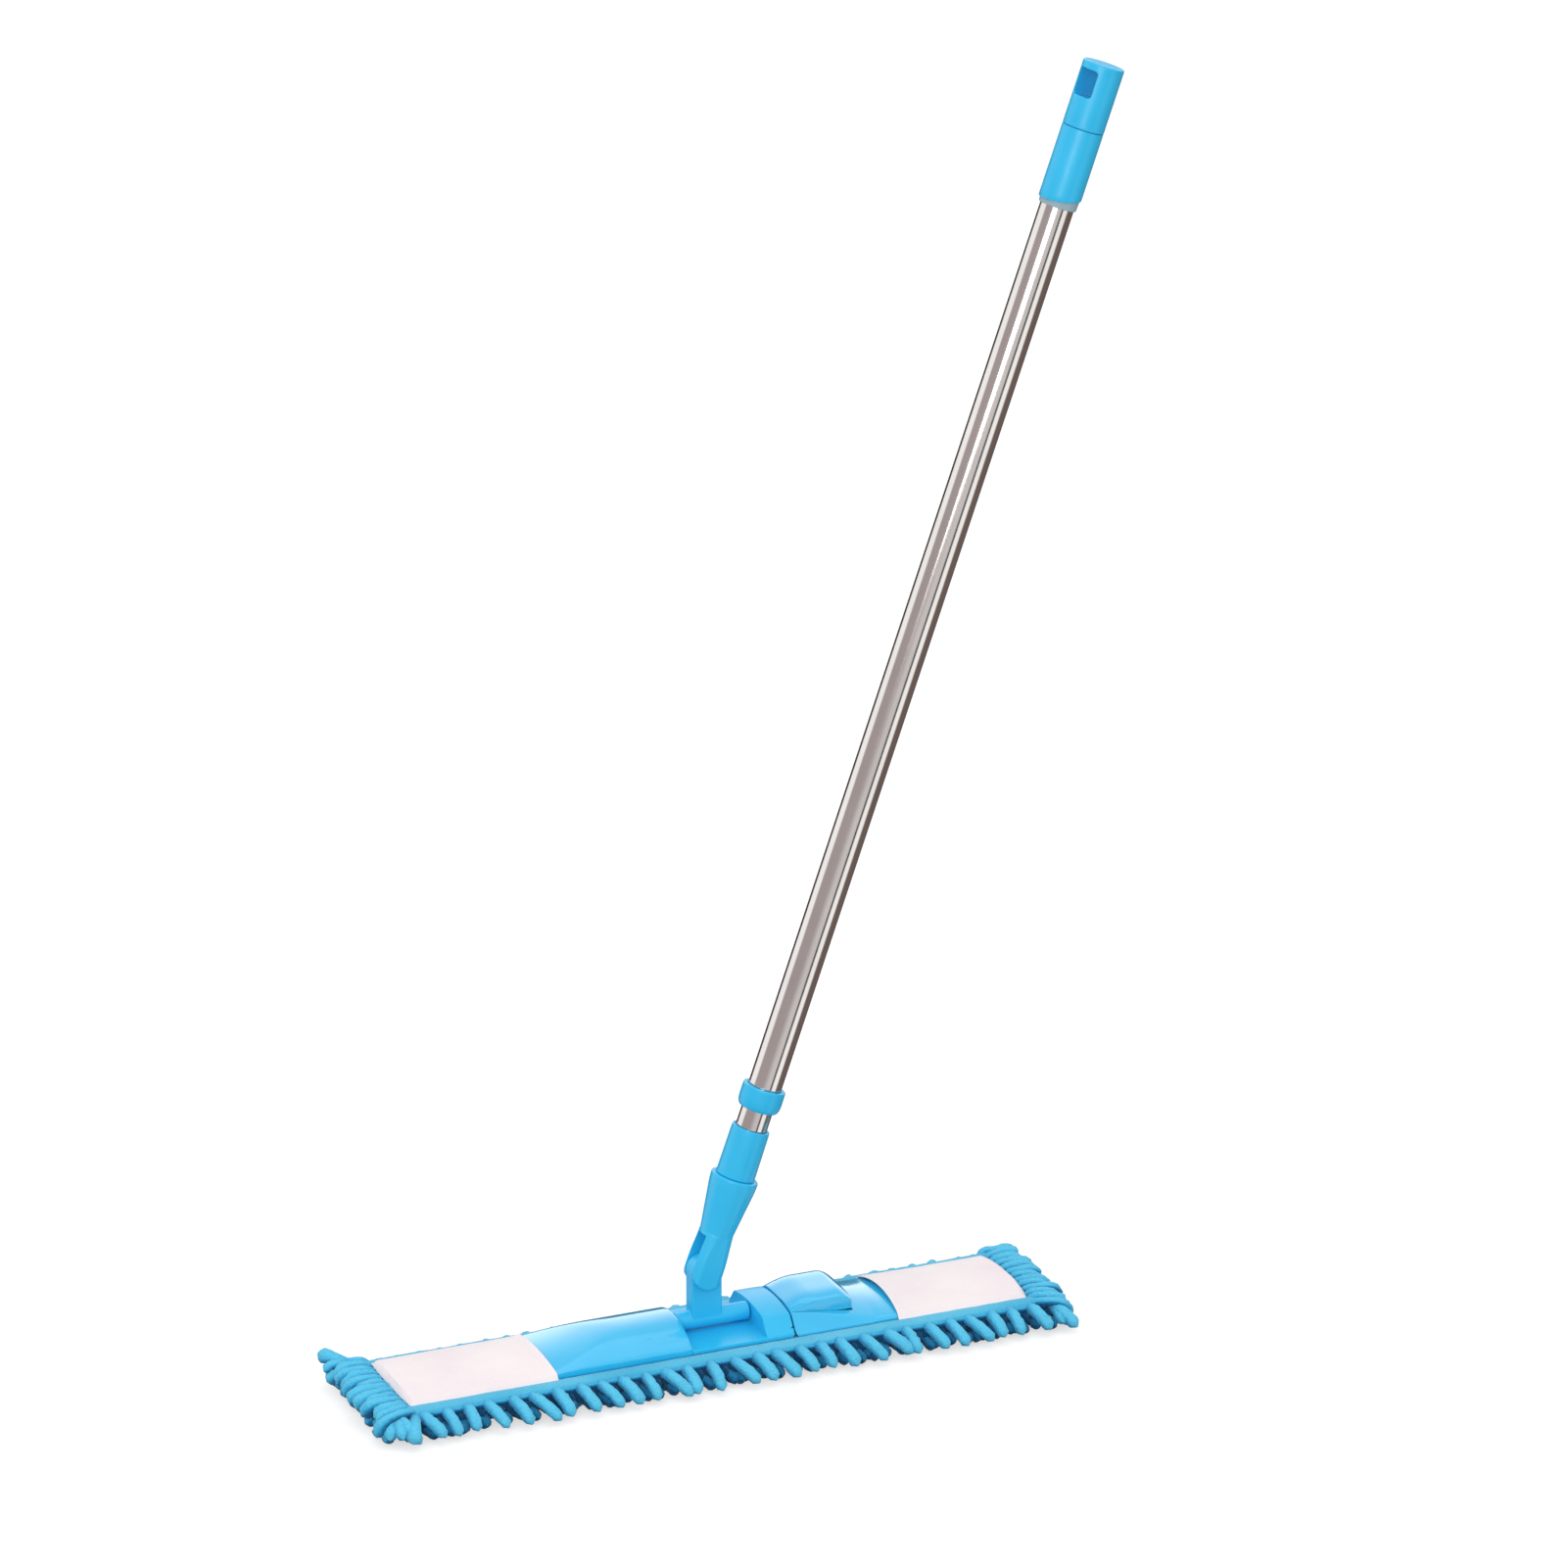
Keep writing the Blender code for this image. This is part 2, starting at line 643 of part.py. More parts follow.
def make_right_wing():
    start = FOLD_X + 1.1
    wing = under_surface(
        "right_wing",
        spread(start, TIP_X - TIP_RADIUS, 16)[:-1] + spread(TIP_X - TIP_RADIUS, TIP_X, 4),
        spread(-1, 1, 14),
        wing_height,
        PLATE_BOTTOM,
        FOLD,
        GLOSS,
        wing_half_width,
    )
    bays = [(150, 236, -34, -9), (150, 236, -6, 6), (150, 236, 9, 34)]
    bays += [(114, 146, -34, -9), (114, 146, -6, 6), (114, 146, 9, 34)]
    hollow_wing(wing, "right_wing", bays, FOLD)
    reach = PEDAL_HALF_WIDTH + 0.6
    pedal_room = block("pedal_room", (start - 3, -reach, PEDAL_FLOOR), (PEDAL_END + 0.8, reach, 50), FOLD)
    cut(wing, pedal_room)
    for side in (-1, 1):
        x, z = PEDAL_PIN
        lug_y = side * 15.5
        lug = block(f"pedal_lug_{side}", (x - 4, lug_y - 2, 24.5), (x + 4, lug_y + 2, z), FOLD)
        lug_ends = (x, lug_y - 2, z), (x, lug_y + 2, z)
        lug_round = rod(f"pedal_lug_round_{side}", 4.0, *lug_ends, FOLD, segments=24)
        join(wing, lug, lug_round)
    x, z = PEDAL_PIN
    cut(wing, rod("wing_pedal_bore", 1.75, (x, -20, z), (x, 20, z), FOLD, segments=20))
    cut(wing, fold_wedge("wing_fold_wedge", 1, PLATE_BOTTOM - 1, FOLD))
    cut(wing, *knuckle_notches("wing_notch", (1, 3), FOLD))
    for i in (0, 2, 4):
        y0, y1 = KNUCKLE_EDGES[i] + GAP, KNUCKLE_EDGES[i + 1] - GAP
        web_low, web_high = (FOLD_X, y0, FOLD_Z - 0.6), (FOLD_X + 4, y1, FOLD_Z + 2.2)
        join(wing, block(f"wing_knuckle_web_{i}", web_low, web_high, FOLD))
    join(wing, *knuckles("wing_knuckle", (0, 2, 4), FOLD))
    cut(wing, rod("wing_fold_bore", 1.6, (FOLD_X, -40, FOLD_Z), (FOLD_X, 40, FOLD_Z), FOLD, segments=20))
    rod("fold_hinge_pin", 1.25, (FOLD_X, -33.6, FOLD_Z), (FOLD_X, 33.6, FOLD_Z), None, STEEL, 16)


def pedal_height(x, y):
    """A low pillow that rises from the groove and rounds off at the free end."""
    along = (x - FOLD_X) / (PEDAL_END - FOLD_X)
    rise = math.sin(min(along / 0.45, 1.0) * math.pi / 2)
    fall = max((along - 0.82) / 0.18, 0.0) ** 2
    ridge = CREST + (PEDAL_CREST - CREST) * rise - 4.2 * fall
    return ridge - PEDAL_SIDE_DROP * (abs(y) / PEDAL_HALF_WIDTH) ** PEDAL_SIDE_POWER


def make_pedal():
    start = FOLD_X + 1.1
    pedal = under_surface(
        "release_pedal",
        spread(start, 98.0, 8)[:-1] + spread(98.0, PEDAL_END, 5),
        spread(-PEDAL_HALF_WIDTH, PEDAL_HALF_WIDTH, 14),
        pedal_height,
        PEDAL_BOTTOM,
        PEDAL,
        GLOSS,
    )
    hollow = under_surface(
        "pedal_hollow",
        spread(start + 2.2, PEDAL_END - 2.6, 6),
        spread(-PEDAL_HALF_WIDTH + 2.4, PEDAL_HALF_WIDTH - 2.4, 8),
        lambda x, y: pedal_height(x, y) - WALL,
        30.0,
        PEDAL,
    )
    cut(pedal, hollow)
    x, z = PEDAL_PIN
    for side in (-1, 1):
        y0, y1 = side * 10 - 2, side * 10 + 2
        rib = block(f"pedal_rib_{side}", (x - 3.5, y0, z - 0.5), (x + 3.5, y1, 40.0), PEDAL)
        rib_round = rod(f"pedal_rib_round_{side}", 3.5, (x, y0, z), (x, y1, z), PEDAL, segments=20)
        join(pedal, rib, rib_round)
    arm = block("pedal_arm", (48.6, -8.0, 31.0), (67.5, 8.0, 33.4), PEDAL)
    barb = block("pedal_barb", (47.6, -8.0, 30.6), (49.6, 8.0, 33.4), PEDAL)
    arm_root = block("pedal_arm_root", (66.0, -9.0, 31.0), (69.0, 9.0, 40.8), PEDAL)
    join(pedal, arm_root, arm, barb)
    cut(pedal, rod("pedal_bore", 1.75, (x, -20, z), (x, 20, z), PEDAL, segments=20))
    rod("pedal_pin", 1.45, (x, -17.3, z), (x, 17.3, z), FOLD, STEEL, 16)


def make_pedal_spring():
    """A compression coil between the wing's floor and the underside of the pedal."""
    turns, radius, wire = 4.5, 4.0, 0.55
    low, high = SPRING_ENDS
    curve = bpy.data.curves.new("pedal_spring", "CURVE")
    curve.dimensions = "3D"
    curve.bevel_depth = wire * MM
    curve.bevel_resolution = 1
    curve.use_fill_caps = True
    spline = curve.splines.new("POLY")
    steps = 54
    spline.points.add(steps)
    for i, point in enumerate(spline.points):
        angle = 2 * math.pi * turns * i / steps
        x = SPRING_X - FOLD_X + radius * math.cos(angle)
        y = radius * math.sin(angle)
        z = low + wire + (high - low - 2 * wire) * i / steps - FOLD_Z
        point.co = (x * MM, y * MM, z * MM, 1.0)
    obj = bpy.data.objects.new("pedal_spring", curve)
    obj.parent = FOLD
    PARTS.objects.link(obj)
    curve.materials.append(STEEL)


# The pad: plain solids of the right size and place


def slab(name, low, high, frame, material, wedge_side=0):
    made = block(name, low, high, frame, material)
    if wedge_side:
        cut(made, fold_wedge(name + "_fold", wedge_side, -1.0, frame))
    return made


def make_pad():
    for label, side, frame in (("left", -1, None), ("right", 1, FOLD)):
        inner = FOLD_X - side * 3.0
        outer = side * PILE_HALF_LENGTH
        low_x, high_x = min(inner, outer), max(inner, outer)
        slab(
            f"chenille_pile_{label}",
            (low_x, -PILE_HALF_WIDTH, 0),
            (high_x, PILE_HALF_WIDTH, PILE_TOP),
            frame,
            CHENILLE,
            side,
        )
        outer = side * PAD_HALF_LENGTH
        low_x, high_x = min(inner, outer), max(inner, outer)
        slab(
            f"pad_backing_{label}",
            (low_x, -PAD_HALF_WIDTH, PILE_TOP + GAP),
            (high_x, PAD_HALF_WIDTH, BACKING_TOP),
            frame,
            BINDING,
            side,
        )
        make_binding(label, side, frame)
        make_pocket(label, side, frame)


def make_binding(label, side, frame):
    """The tape sewn round the backing's top edge, as one U for each half of the pad."""
    inner = FOLD_X - side * 3.0
    outer = side * PAD_HALF_LENGTH
    low_x, high_x = min(inner, outer), max(inner, outer)
    width = 10.0
    half = PAD_HALF_WIDTH
    low, high = (low_x, -half, BACKING_TOP + GAP), (high_x, half, BACKING_TOP + 2.0)
    tape = block(f"binding_tape_{label}", low, high, frame, BINDING)
    room_low = low_x + width if side < 0 else low_x - 20
    room_high = high_x + 20 if side < 0 else high_x - width
    low, high = (room_low, -half + width, 15), (room_high, half - width, 30)
    room = block(f"binding_room_{label}", low, high, frame)
    cut(tape, room, fold_wedge(f"binding_fold_{label}", side, 15.0, frame))


def make_pocket(label, side, frame):
    """The cloth pocket over a wing's tip: open at its mouth and closed round the tip."""
    skin, room = 1.1, 0.8
    ends = sorted((side * (MOUTH_X - 1.0), side * (TIP_X + 2.4)))
    inner_ends = sorted((side * (MOUTH_X - 4.0), side * (TIP_X + room + 0.3)))
    half = PLATE_HALF_WIDTH + room
    pocket = under_surface(
        f"pocket_{label}",
        spread(ends[0], ends[1], 8),
        spread(-half - skin, half + skin, 12),
        lambda x, y: wing_height(x, y * PLATE_HALF_WIDTH / half) + room + skin,
        BACKING_TOP + GAP,
        frame,
        POCKET,
    )
    hollow = under_surface(
        f"pocket_hollow_{label}",
        spread(inner_ends[0], inner_ends[1], 9),
        spread(-half, half, 12),
        lambda x, y: wing_height(x, y * PLATE_HALF_WIDTH / half) + room,
        BACKING_TOP - 3,
        frame,
    )
    cut(pocket, hollow)


make_left_wing()
make_centre_bracket()
make_screws()
make_swivel()
make_socket()
make_ferrule()
make_inner_pole()
make_lock_ring()
make_outer_pole()
make_right_wing()
make_pedal()
make_pedal_spring()
make_pad()
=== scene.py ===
import json
import math
import random

import bmesh
import bpy
from mathutils import Matrix, Vector, noise


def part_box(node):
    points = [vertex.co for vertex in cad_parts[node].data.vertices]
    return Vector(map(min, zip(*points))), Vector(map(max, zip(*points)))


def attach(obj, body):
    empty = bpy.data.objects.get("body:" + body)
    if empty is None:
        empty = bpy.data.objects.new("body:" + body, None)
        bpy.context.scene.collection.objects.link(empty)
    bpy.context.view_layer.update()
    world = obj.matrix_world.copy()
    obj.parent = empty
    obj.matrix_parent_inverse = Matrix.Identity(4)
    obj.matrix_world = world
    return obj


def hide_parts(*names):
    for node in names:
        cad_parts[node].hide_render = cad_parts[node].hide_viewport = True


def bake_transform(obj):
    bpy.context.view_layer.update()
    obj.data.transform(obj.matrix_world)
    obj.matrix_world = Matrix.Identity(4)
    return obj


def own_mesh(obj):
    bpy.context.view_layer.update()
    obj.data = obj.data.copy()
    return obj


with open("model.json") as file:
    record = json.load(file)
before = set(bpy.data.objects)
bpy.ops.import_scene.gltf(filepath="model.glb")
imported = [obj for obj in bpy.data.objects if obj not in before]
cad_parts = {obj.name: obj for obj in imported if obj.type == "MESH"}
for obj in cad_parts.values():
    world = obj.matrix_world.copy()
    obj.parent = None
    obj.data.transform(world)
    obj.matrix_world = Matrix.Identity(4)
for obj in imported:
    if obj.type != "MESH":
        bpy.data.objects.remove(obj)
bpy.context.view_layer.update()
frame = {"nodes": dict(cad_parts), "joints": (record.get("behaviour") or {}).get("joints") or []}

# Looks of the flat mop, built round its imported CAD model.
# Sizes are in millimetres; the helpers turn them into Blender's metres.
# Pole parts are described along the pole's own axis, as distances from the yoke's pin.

MM = 0.001
SHARP_ANGLE = math.radians(40)


# Places, all read from the frame


def joint_row(name):
    return next(row for row in frame["joints"] if row["name"] == name)


def joint_place(name):
    return Vector(joint_row(name)["pos_m"]) / MM


def box(node):
    low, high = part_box(node)
    return Vector(low) / MM, Vector(high) / MM


PIN = joint_place("pole_swing")
BARREL = joint_place("head_tilt")
FOLD = joint_place("wing_fold")
PEDAL_PIN = joint_place("pedal_press")
POLE_AXIS = Vector(joint_row("telescope")["axis"]).normalized()
POLE_LEAN = math.atan2(POLE_AXIS.x, POLE_AXIS.z)
POLE = Matrix.Translation(PIN) @ Matrix.Rotation(POLE_LEAN, 4, "Y")
UPRIGHT = Matrix.Identity(4)


def along_pole(node):
    """Where a node starts and ends along the pole, and its largest radius."""
    to_pole = POLE.inverted()
    points = [to_pole @ (vertex.co / MM) for vertex in frame["nodes"][node].data.vertices]
    heights = [point.z for point in points]
    return min(heights), max(heights), max(math.hypot(point.x, point.y) for point in points)


LEFT_LOW, LEFT_HIGH = box("left_wing")
PLATE_BOTTOM = LEFT_LOW.z
PLATE_HALF_WIDTH = LEFT_HIGH.y
TIP_X = box("right_wing")[1].x
CREST = LEFT_HIGH.z
BACKING_LOW, BACKING_HIGH = box("pad_backing_left")
BACKING_TOP = BACKING_HIGH.z
PAD_HALF_LENGTH = -BACKING_LOW.x
PAD_HALF_WIDTH = BACKING_HIGH.y
PILE_HALF_WIDTH = box("chenille_pile_left")[1].y


# Mesh helpers


def new_object(bm, name="solid"):
    """An object from a bmesh in millimetres."""
    bmesh.ops.recalc_face_normals(bm, faces=bm.faces)
    bmesh.ops.scale(bm, vec=(MM, MM, MM), verts=bm.verts)
    mesh = bpy.data.meshes.new(name)
    bm.to_mesh(mesh)
    bm.free()
    obj = bpy.data.objects.new(name, mesh)
    bpy.context.scene.collection.objects.link(obj)
    return obj


def box_solid(low, high, rounding=0.0, place=UPRIGHT):
    """A box between two corners, with all its edges rounded."""
    bm = bmesh.new()
    bmesh.ops.create_cube(bm, size=1.0)
    low, high = Vector(low), Vector(high)
    bmesh.ops.scale(bm, vec=high - low, verts=bm.verts)
    bmesh.ops.translate(bm, vec=(low + high) / 2, verts=bm.verts)
    if rounding:
        bmesh.ops.bevel(bm, geom=bm.edges[:], offset=rounding, segments=4, profile=0.5, affect="EDGES")
    bmesh.ops.transform(bm, matrix=place, verts=bm.verts)
    return new_object(bm)


def filleted(profile, segments=5):
    """A closed profile of (radius, height, fillet) points with each corner rounded by its fillet."""
    count = len(profile)
    outline = []
    for i, (x, z, fillet) in enumerate(profile):
        here = Vector((x, z))
        if not fillet:
            outline.append(here)
            continue
        before = Vector(profile[i - 1][:2]) - here
        after = Vector(profile[(i + 1) % count][:2]) - here
        start = here + before.normalized() * min(fillet, before.length * 0.45)
        end = here + after.normalized() * min(fillet, after.length * 0.45)
        for step in range(segments + 1):
            t = step / segments
            outline.append(start * (1 - t) ** 2 + here * 2 * t * (1 - t) + end * t * t)
    return outline


def turned_solid(profile, place=POLE, steps=112):
    """A closed profile of (radius, height, fillet) points turned about the Z axis of its place."""
    bm = bmesh.new()
    points = [bm.verts.new((point.x, 0, point.y)) for point in filleted(profile)]
    for first, second in zip(points, points[1:] + points[:1]):
        if first.co.x or second.co.x:
            bm.edges.new((first, second))
    bmesh.ops.spin(
        bm,
        geom=bm.verts[:] + bm.edges[:],
        axis=(0, 0, 1),
        cent=(0, 0, 0),
        angle=2 * math.pi,
        steps=steps,
        use_merge=True,
    )
    bmesh.ops.remove_doubles(bm, verts=bm.verts, dist=0.001)
    bmesh.ops.dissolve_degenerate(bm, edges=bm.edges[:], dist=0.0005)
    bmesh.ops.transform(bm, matrix=place, verts=bm.verts)
    return new_object(bm)


def rod_solid(radius, start, end, rounding=0.0, place=UPRIGHT, steps=64):
    """A solid cylinder between two points, with rounded ends."""
    start, end = Vector(start), Vector(end)
    length = (end - start).length
    turn = Vector((0, 0, 1)).rotation_difference(end - start).to_matrix().to_4x4()
    profile = [(0, 0, 0), (radius, 0, rounding), (radius, length, rounding), (0, length, 0)]
    return turned_solid(profile, place @ Matrix.Translation(start) @ turn, steps)


def bake(obj):
    """Applies an object's modifiers to its mesh."""
    depsgraph = bpy.context.evaluated_depsgraph_get()
    made = bpy.data.meshes.new_from_object(obj.evaluated_get(depsgraph))
    obj.modifiers.clear()
    before = obj.data
    obj.data = made
    bpy.data.meshes.remove(before)
    return obj


def combine(obj, operation, others):
    """A Boolean with each helper in turn. The helpers are used up."""
    for other in others:
        modifier = obj.modifiers.new(operation, "BOOLEAN")
        modifier.operation = operation
        modifier.object = other
        bake(obj)
        bpy.data.objects.remove(other)
    return obj


def joined(obj, *others):
    return combine(obj, "UNION", others)


def cut(obj, *others):
    return combine(obj, "DIFFERENCE", others)


def softened(obj, voxel, rounds):
    """Remeshes a solid finely and smooths it, so that every edge has a moulded radius."""
    remesh = obj.modifiers.new("remesh", "REMESH")
    remesh.mode = "VOXEL"
    remesh.voxel_size = voxel * MM
    smooth = obj.modifiers.new("smooth", "SMOOTH")
    smooth.factor = 0.5
    smooth.iterations = rounds
    return bake(obj)


def rounded_edges(obj, width, angle=38.0, segments=3):
    bevel = obj.modifiers.new("bevel", "BEVEL")
    bevel.width = width * MM
    bevel.segments = segments
    bevel.limit_method = "ANGLE"
    bevel.angle_limit = math.radians(angle)
    bevel.use_clamp_overlap = True
    return bake(obj)


def finish_piece(obj, name, material, body, slot, *nodes):
    """Names a piece, gives it its material and body, and lets it stand for its CAD nodes."""
    obj.name = name
    obj.data.name = name
    obj.data.materials.clear()
    obj.data.materials.append(material)
    obj.data.shade_smooth()
    obj.data.set_sharp_from_angle(angle=SHARP_ANGLE)
    if body:
        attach(obj, body)
    if nodes:
        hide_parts(*nodes)
    return obj


def spread(start, end, count):
    return [start + (end - start) * i / count for i in range(count + 1)]


def smooth_step(t):
    t = min(max(t, 0.0), 1.0)
    return t * t * (3 - 2 * t)


def wobble(x, y, z, scale, seed=0.0):
    """Smooth noise from about -1 to 1, with features of the given size in millimetres."""
    return noise.noise(Vector((x / scale + seed, y / scale - seed, z / scale + 2 * seed)))


# Materials


def feed(tree, socket, value):
    """Links another node's output into a socket, or sets the socket's own value."""
    if isinstance(value, bpy.types.NodeSocket):
        tree.links.new(value, socket)
    else:
        socket.default_value = value


def add_node(tree, kind, inputs=None, **settings):
    made = tree.nodes.new("ShaderNode" + kind)
    for key, value in settings.items():
        setattr(made, key, value)
    for key, value in (inputs or {}).items():
        feed(tree, made.inputs[key], value)
    return made


def new_material(name, sockets):
    """A Principled material. What is the same all over its surface sits on the shader's own sockets."""
    made = bpy.data.materials.new(name)
    made.use_nodes = True
    shader = made.node_tree.nodes["Principled BSDF"]
    for key, value in sockets.items():
        shader.inputs[key].default_value = value
    return made, made.node_tree, shader


def surface_place(tree, stretch=(1, 1, 1), turn=(0, 0, 0)):
    """Object coordinates in metres, which stay with a piece as it moves."""
    place = add_node(tree, "TexCoord").outputs["Object"]
    return add_node(tree, "Mapping", {"Vector": place, "Scale": stretch, "Rotation": turn}).outputs["Vector"]


def noise_value(tree, place, scale, detail=3.0, roughness=0.5):
    inputs = {"Vector": place, "Scale": scale, "Detail": detail, "Roughness": roughness}
    return add_node(tree, "TexNoise", inputs).outputs["Fac"]


def ramp(tree, value, stops):
    """A colour ramp through (position, colour) stops."""
    made = add_node(tree, "ValToRGB", {"Fac": value})
    elements = made.color_ramp.elements
    while len(elements) > 1:
        elements.remove(elements[-1])
    elements[0].position = stops[0][0]
    elements[0].color = (*stops[0][1], 1.0)
    for position, colour in stops[1:]:
        elements.new(position).color = (*colour, 1.0)
    return made.outputs["Color"]


def span(tree, value, low, high):
    """Maps a 0 to 1 value onto a range."""
    return add_node(tree, "MapRange", {"Value": value, "To Min": low, "To Max": high}).outputs["Result"]


def share_between(tree, value, low, high):
    """How far a value is from low to high, from 0 to 1."""
    return add_node(tree, "MapRange", {"Value": value, "From Min": low, "From Max": high}).outputs["Result"]


def arithmetic(tree, operation, first, second):
    return add_node(tree, "Math", {0: first, 1: second}, operation=operation).outputs[0]


def bump(tree, shader, height, distance, strength=1.0):
    made = add_node(tree, "Bump", {"Height": height, "Distance": distance * MM, "Strength": strength})
    feed(tree, shader.inputs["Normal"], made.outputs["Normal"])


def plastic(name, light, dark, roughness, coat=0.0, grain=0.012):
    """Moulded plastic: slight tone drift, fine surface grain, and duller patches from handling."""
    sockets = {"IOR": 1.49, "Coat Weight": coat, "Coat Roughness": 0.04}
    made, tree, shader = new_material(name, sockets)
    place = surface_place(tree)
    drift = noise_value(tree, place, 22.0, 2.0)
    feed(tree, shader.inputs["Base Color"], ramp(tree, drift, [(0.3, dark), (0.7, light)]))
    wear = noise_value(tree, place, 90.0, 6.0, 0.65)
    feed(tree, shader.inputs["Roughness"], span(tree, wear, roughness * 0.7, roughness * 1.4))
    bump(tree, shader, noise_value(tree, place, 1400.0, 2.0), grain)
    return made


def drawn_steel(name, colour, roughness, stretch, turn):
    """Bright steel with fine drawing lines along its length."""
    made, tree, shader = new_material(name, {"Metallic": 1.0})
    place = surface_place(tree, stretch, turn)
    lines = noise_value(tree, place, 900.0, 4.0, 0.7)
    haze = noise_value(tree, surface_place(tree), 25.0, 3.0)
    low = [0.93 * c for c in colour]
    feed(tree, shader.inputs["Base Color"], ramp(tree, haze, [(0.3, low), (0.7, colour)]))
    feed(tree, shader.inputs["Roughness"], span(tree, lines, roughness * 0.75, roughness * 1.3))
    bump(tree, shader, lines, 0.002)
    return made


def chenille_cloth():
    """Microfibre pile with a fuzzy nap, its colour painted with shade: the depth attribute makes each tuft
    bright on its outside and dark towards its root and in the gaps.
    """
    sockets = {"Roughness": 1.0, "Sheen Weight": 0.35, "Sheen Roughness": 0.45, "Specular IOR Level": 0.15}
    made, tree, shader = new_material("chenille_nap", sockets)
    shader.inputs["Sheen Tint"].default_value = (0.45, 0.85, 1.0, 1.0)
    place = surface_place(tree)
    # Painted shade: the depth attribute on the mesh says how much shade is painted at each point.
    depth = add_node(tree, "Attribute", attribute_name="depth").outputs["Fac"]
    nap = noise_value(tree, place, 420.0, 4.0, 0.7)
    speckle = arithmetic(tree, "MULTIPLY", arithmetic(tree, "SUBTRACT", nap, 0.5), 0.5)
    shade = arithmetic(tree, "ADD", depth, speckle)
    # Painted shade: the ramp runs from the lit sky blue of the tufts' outsides down to a navy that stands for
    # the shade at their roots and between them.
    colours = [
        (0.0, (0.115, 0.600, 0.880)),
        (0.25, (0.062, 0.450, 0.745)),
        (0.55, (0.014, 0.235, 0.480)),
        (1.0, (0.002, 0.060, 0.165)),
    ]
    feed(tree, shader.inputs["Base Color"], ramp(tree, shade, colours))
    loops = add_node(tree, "TexVoronoi", {"Vector": place, "Scale": 620.0, "Randomness": 1.0})
    height = arithmetic(tree, "ADD", loops.outputs["Distance"], noise_value(tree, place, 1500.0, 3.0))
    bump(tree, shader, height, 0.9, 0.8)
    return made


def woven_cloth(name, colours, pitch, depth, sheen):
    """Plain weave: two sets of threads a pitch apart in millimetres, with soft stains of tone."""
    sockets = {"Roughness": 0.92, "Sheen Weight": sheen, "Sheen Roughness": 0.5, "Specular IOR Level": 0.2}
    made, tree, shader = new_material(name, sockets)
    place = surface_place(tree)
    per_metre = 1.0 / (pitch * MM) / 6.283
    wave = {"Vector": place, "Scale": per_metre, "Distortion": 0.6, "Detail": 1.0, "Detail Scale": 2.0}
    threads = [
        add_node(tree, "TexWave", wave, wave_type="BANDS", bands_direction=direction).outputs["Fac"]
        for direction in ("X", "Y")
    ]
    weave = arithmetic(tree, "MAXIMUM", *threads)
    tone = arithmetic(tree, "MULTIPLY", noise_value(tree, place, 16.0, 3.0), 0.7)
    fibre = noise_value(tree, place, 900.0, 3.0, 0.7)
    mixed = arithmetic(tree, "ADD", tone, arithmetic(tree, "MULTIPLY", fibre, 0.3))
    feed(tree, shader.inputs["Base Color"], ramp(tree, mixed, list(zip((0.3, 0.5, 0.7), colours))))
    bump(tree, shader, arithmetic(tree, "ADD", weave, arithmetic(tree, "MULTIPLY", fibre, 0.5)), depth, 0.7)
    return made


POLE_TURN = (0.0, -POLE_LEAN, 0.0)
ALONG_POLE = (1.0, 1.0, 0.02)

SKY = plastic("sky_plastic_satin", (0.028, 0.520, 0.860), (0.018, 0.480, 0.830), 0.30)
GLOSS = plastic("sky_plastic_gloss", (0.026, 0.510, 0.850), (0.016, 0.470, 0.820), 0.16, 0.85, 0.006)
DEEP = plastic("inner_plastic_matt", (0.040, 0.360, 0.740), (0.030, 0.320, 0.690), 0.45)
GREY = plastic("grey_plastic_matt", (0.33, 0.46, 0.52), (0.27, 0.40, 0.46), 0.45)
NYLON = plastic("white_nylon_matt", (0.85, 0.85, 0.82), (0.80, 0.80, 0.76), 0.45)
TUBE = drawn_steel("stainless_tube_drawn", (0.76, 0.73, 0.71), 0.13, ALONG_POLE, POLE_TURN)
STEEL = drawn_steel("steel_pins_plated", (0.60, 0.60, 0.62), 0.30, (1, 1, 1), (0, 0, 0))
CHENILLE = chenille_cloth()
TAPE_BLUES = (0.05, 0.38, 0.62), (0.08, 0.47, 0.70), (0.13, 0.54, 0.76)
THREAD_BLUES = (0.10, 0.46, 0.68), (0.15, 0.54, 0.75), (0.22, 0.62, 0.82)
PINK_WHITES = (0.80, 0.70, 0.745), (0.86, 0.775, 0.80), (0.90, 0.83, 0.83)
THREAD_WHITES = (0.80, 0.76, 0.78), (0.86, 0.82, 0.84), (0.92, 0.88, 0.90)
TAPE = woven_cloth("binding_tape_weave", TAPE_BLUES, 0.9, 0.25, 0.2)
POCKET = woven_cloth("pocket_cloth_weave", PINK_WHITES, 0.8, 0.16, 0.2)
THREAD = woven_cloth("sewing_thread", THREAD_BLUES, 0.3, 0.05, 0.3)
WHITE_THREAD = woven_cloth("white_thread", THREAD_WHITES, 0.3, 0.05, 0.3)


# The frame's wings: thin shells, domed on the left and flanged on the right, which slope to the pocket mouths

DOME_DROP = 13.7
DOME_POWER = 2.2
CREASE_SOFTNESS = 2.0
MOUTH_X = 137.0
MOUTH_CREST = 29.0
TIP_CREST = 26.0
EDGE_HEIGHT = 23.8
TIP_RADIUS = 14.0
LEFT_CREST_X = 80.0
RIGHT_CREST_X = 62.0
LEFT_CROSS_FALL = 5.0
RIGHT_CROSS_FALL = 7.0
TOP_SAG = 3.0
TOP_HALF_WIDTH = 27.0
FLANGE_FOOT = 22.4
FLANGE_SLOPE = 1.3
FLANGE_SOFTNESS = 1.6
WALL = 2.4
EDGE_RADIUS = 0.6


def soft_min(a, b, softness):
    """The lower of two heights, with the crease between them rounded."""
    near = max(softness - abs(a - b), 0.0) / softness
    return min(a, b) - near * near * softness / 4


def dome_height(y):
    return CREST - DOME_DROP * (abs(y) / PLATE_HALF_WIDTH) ** DOME_POWER


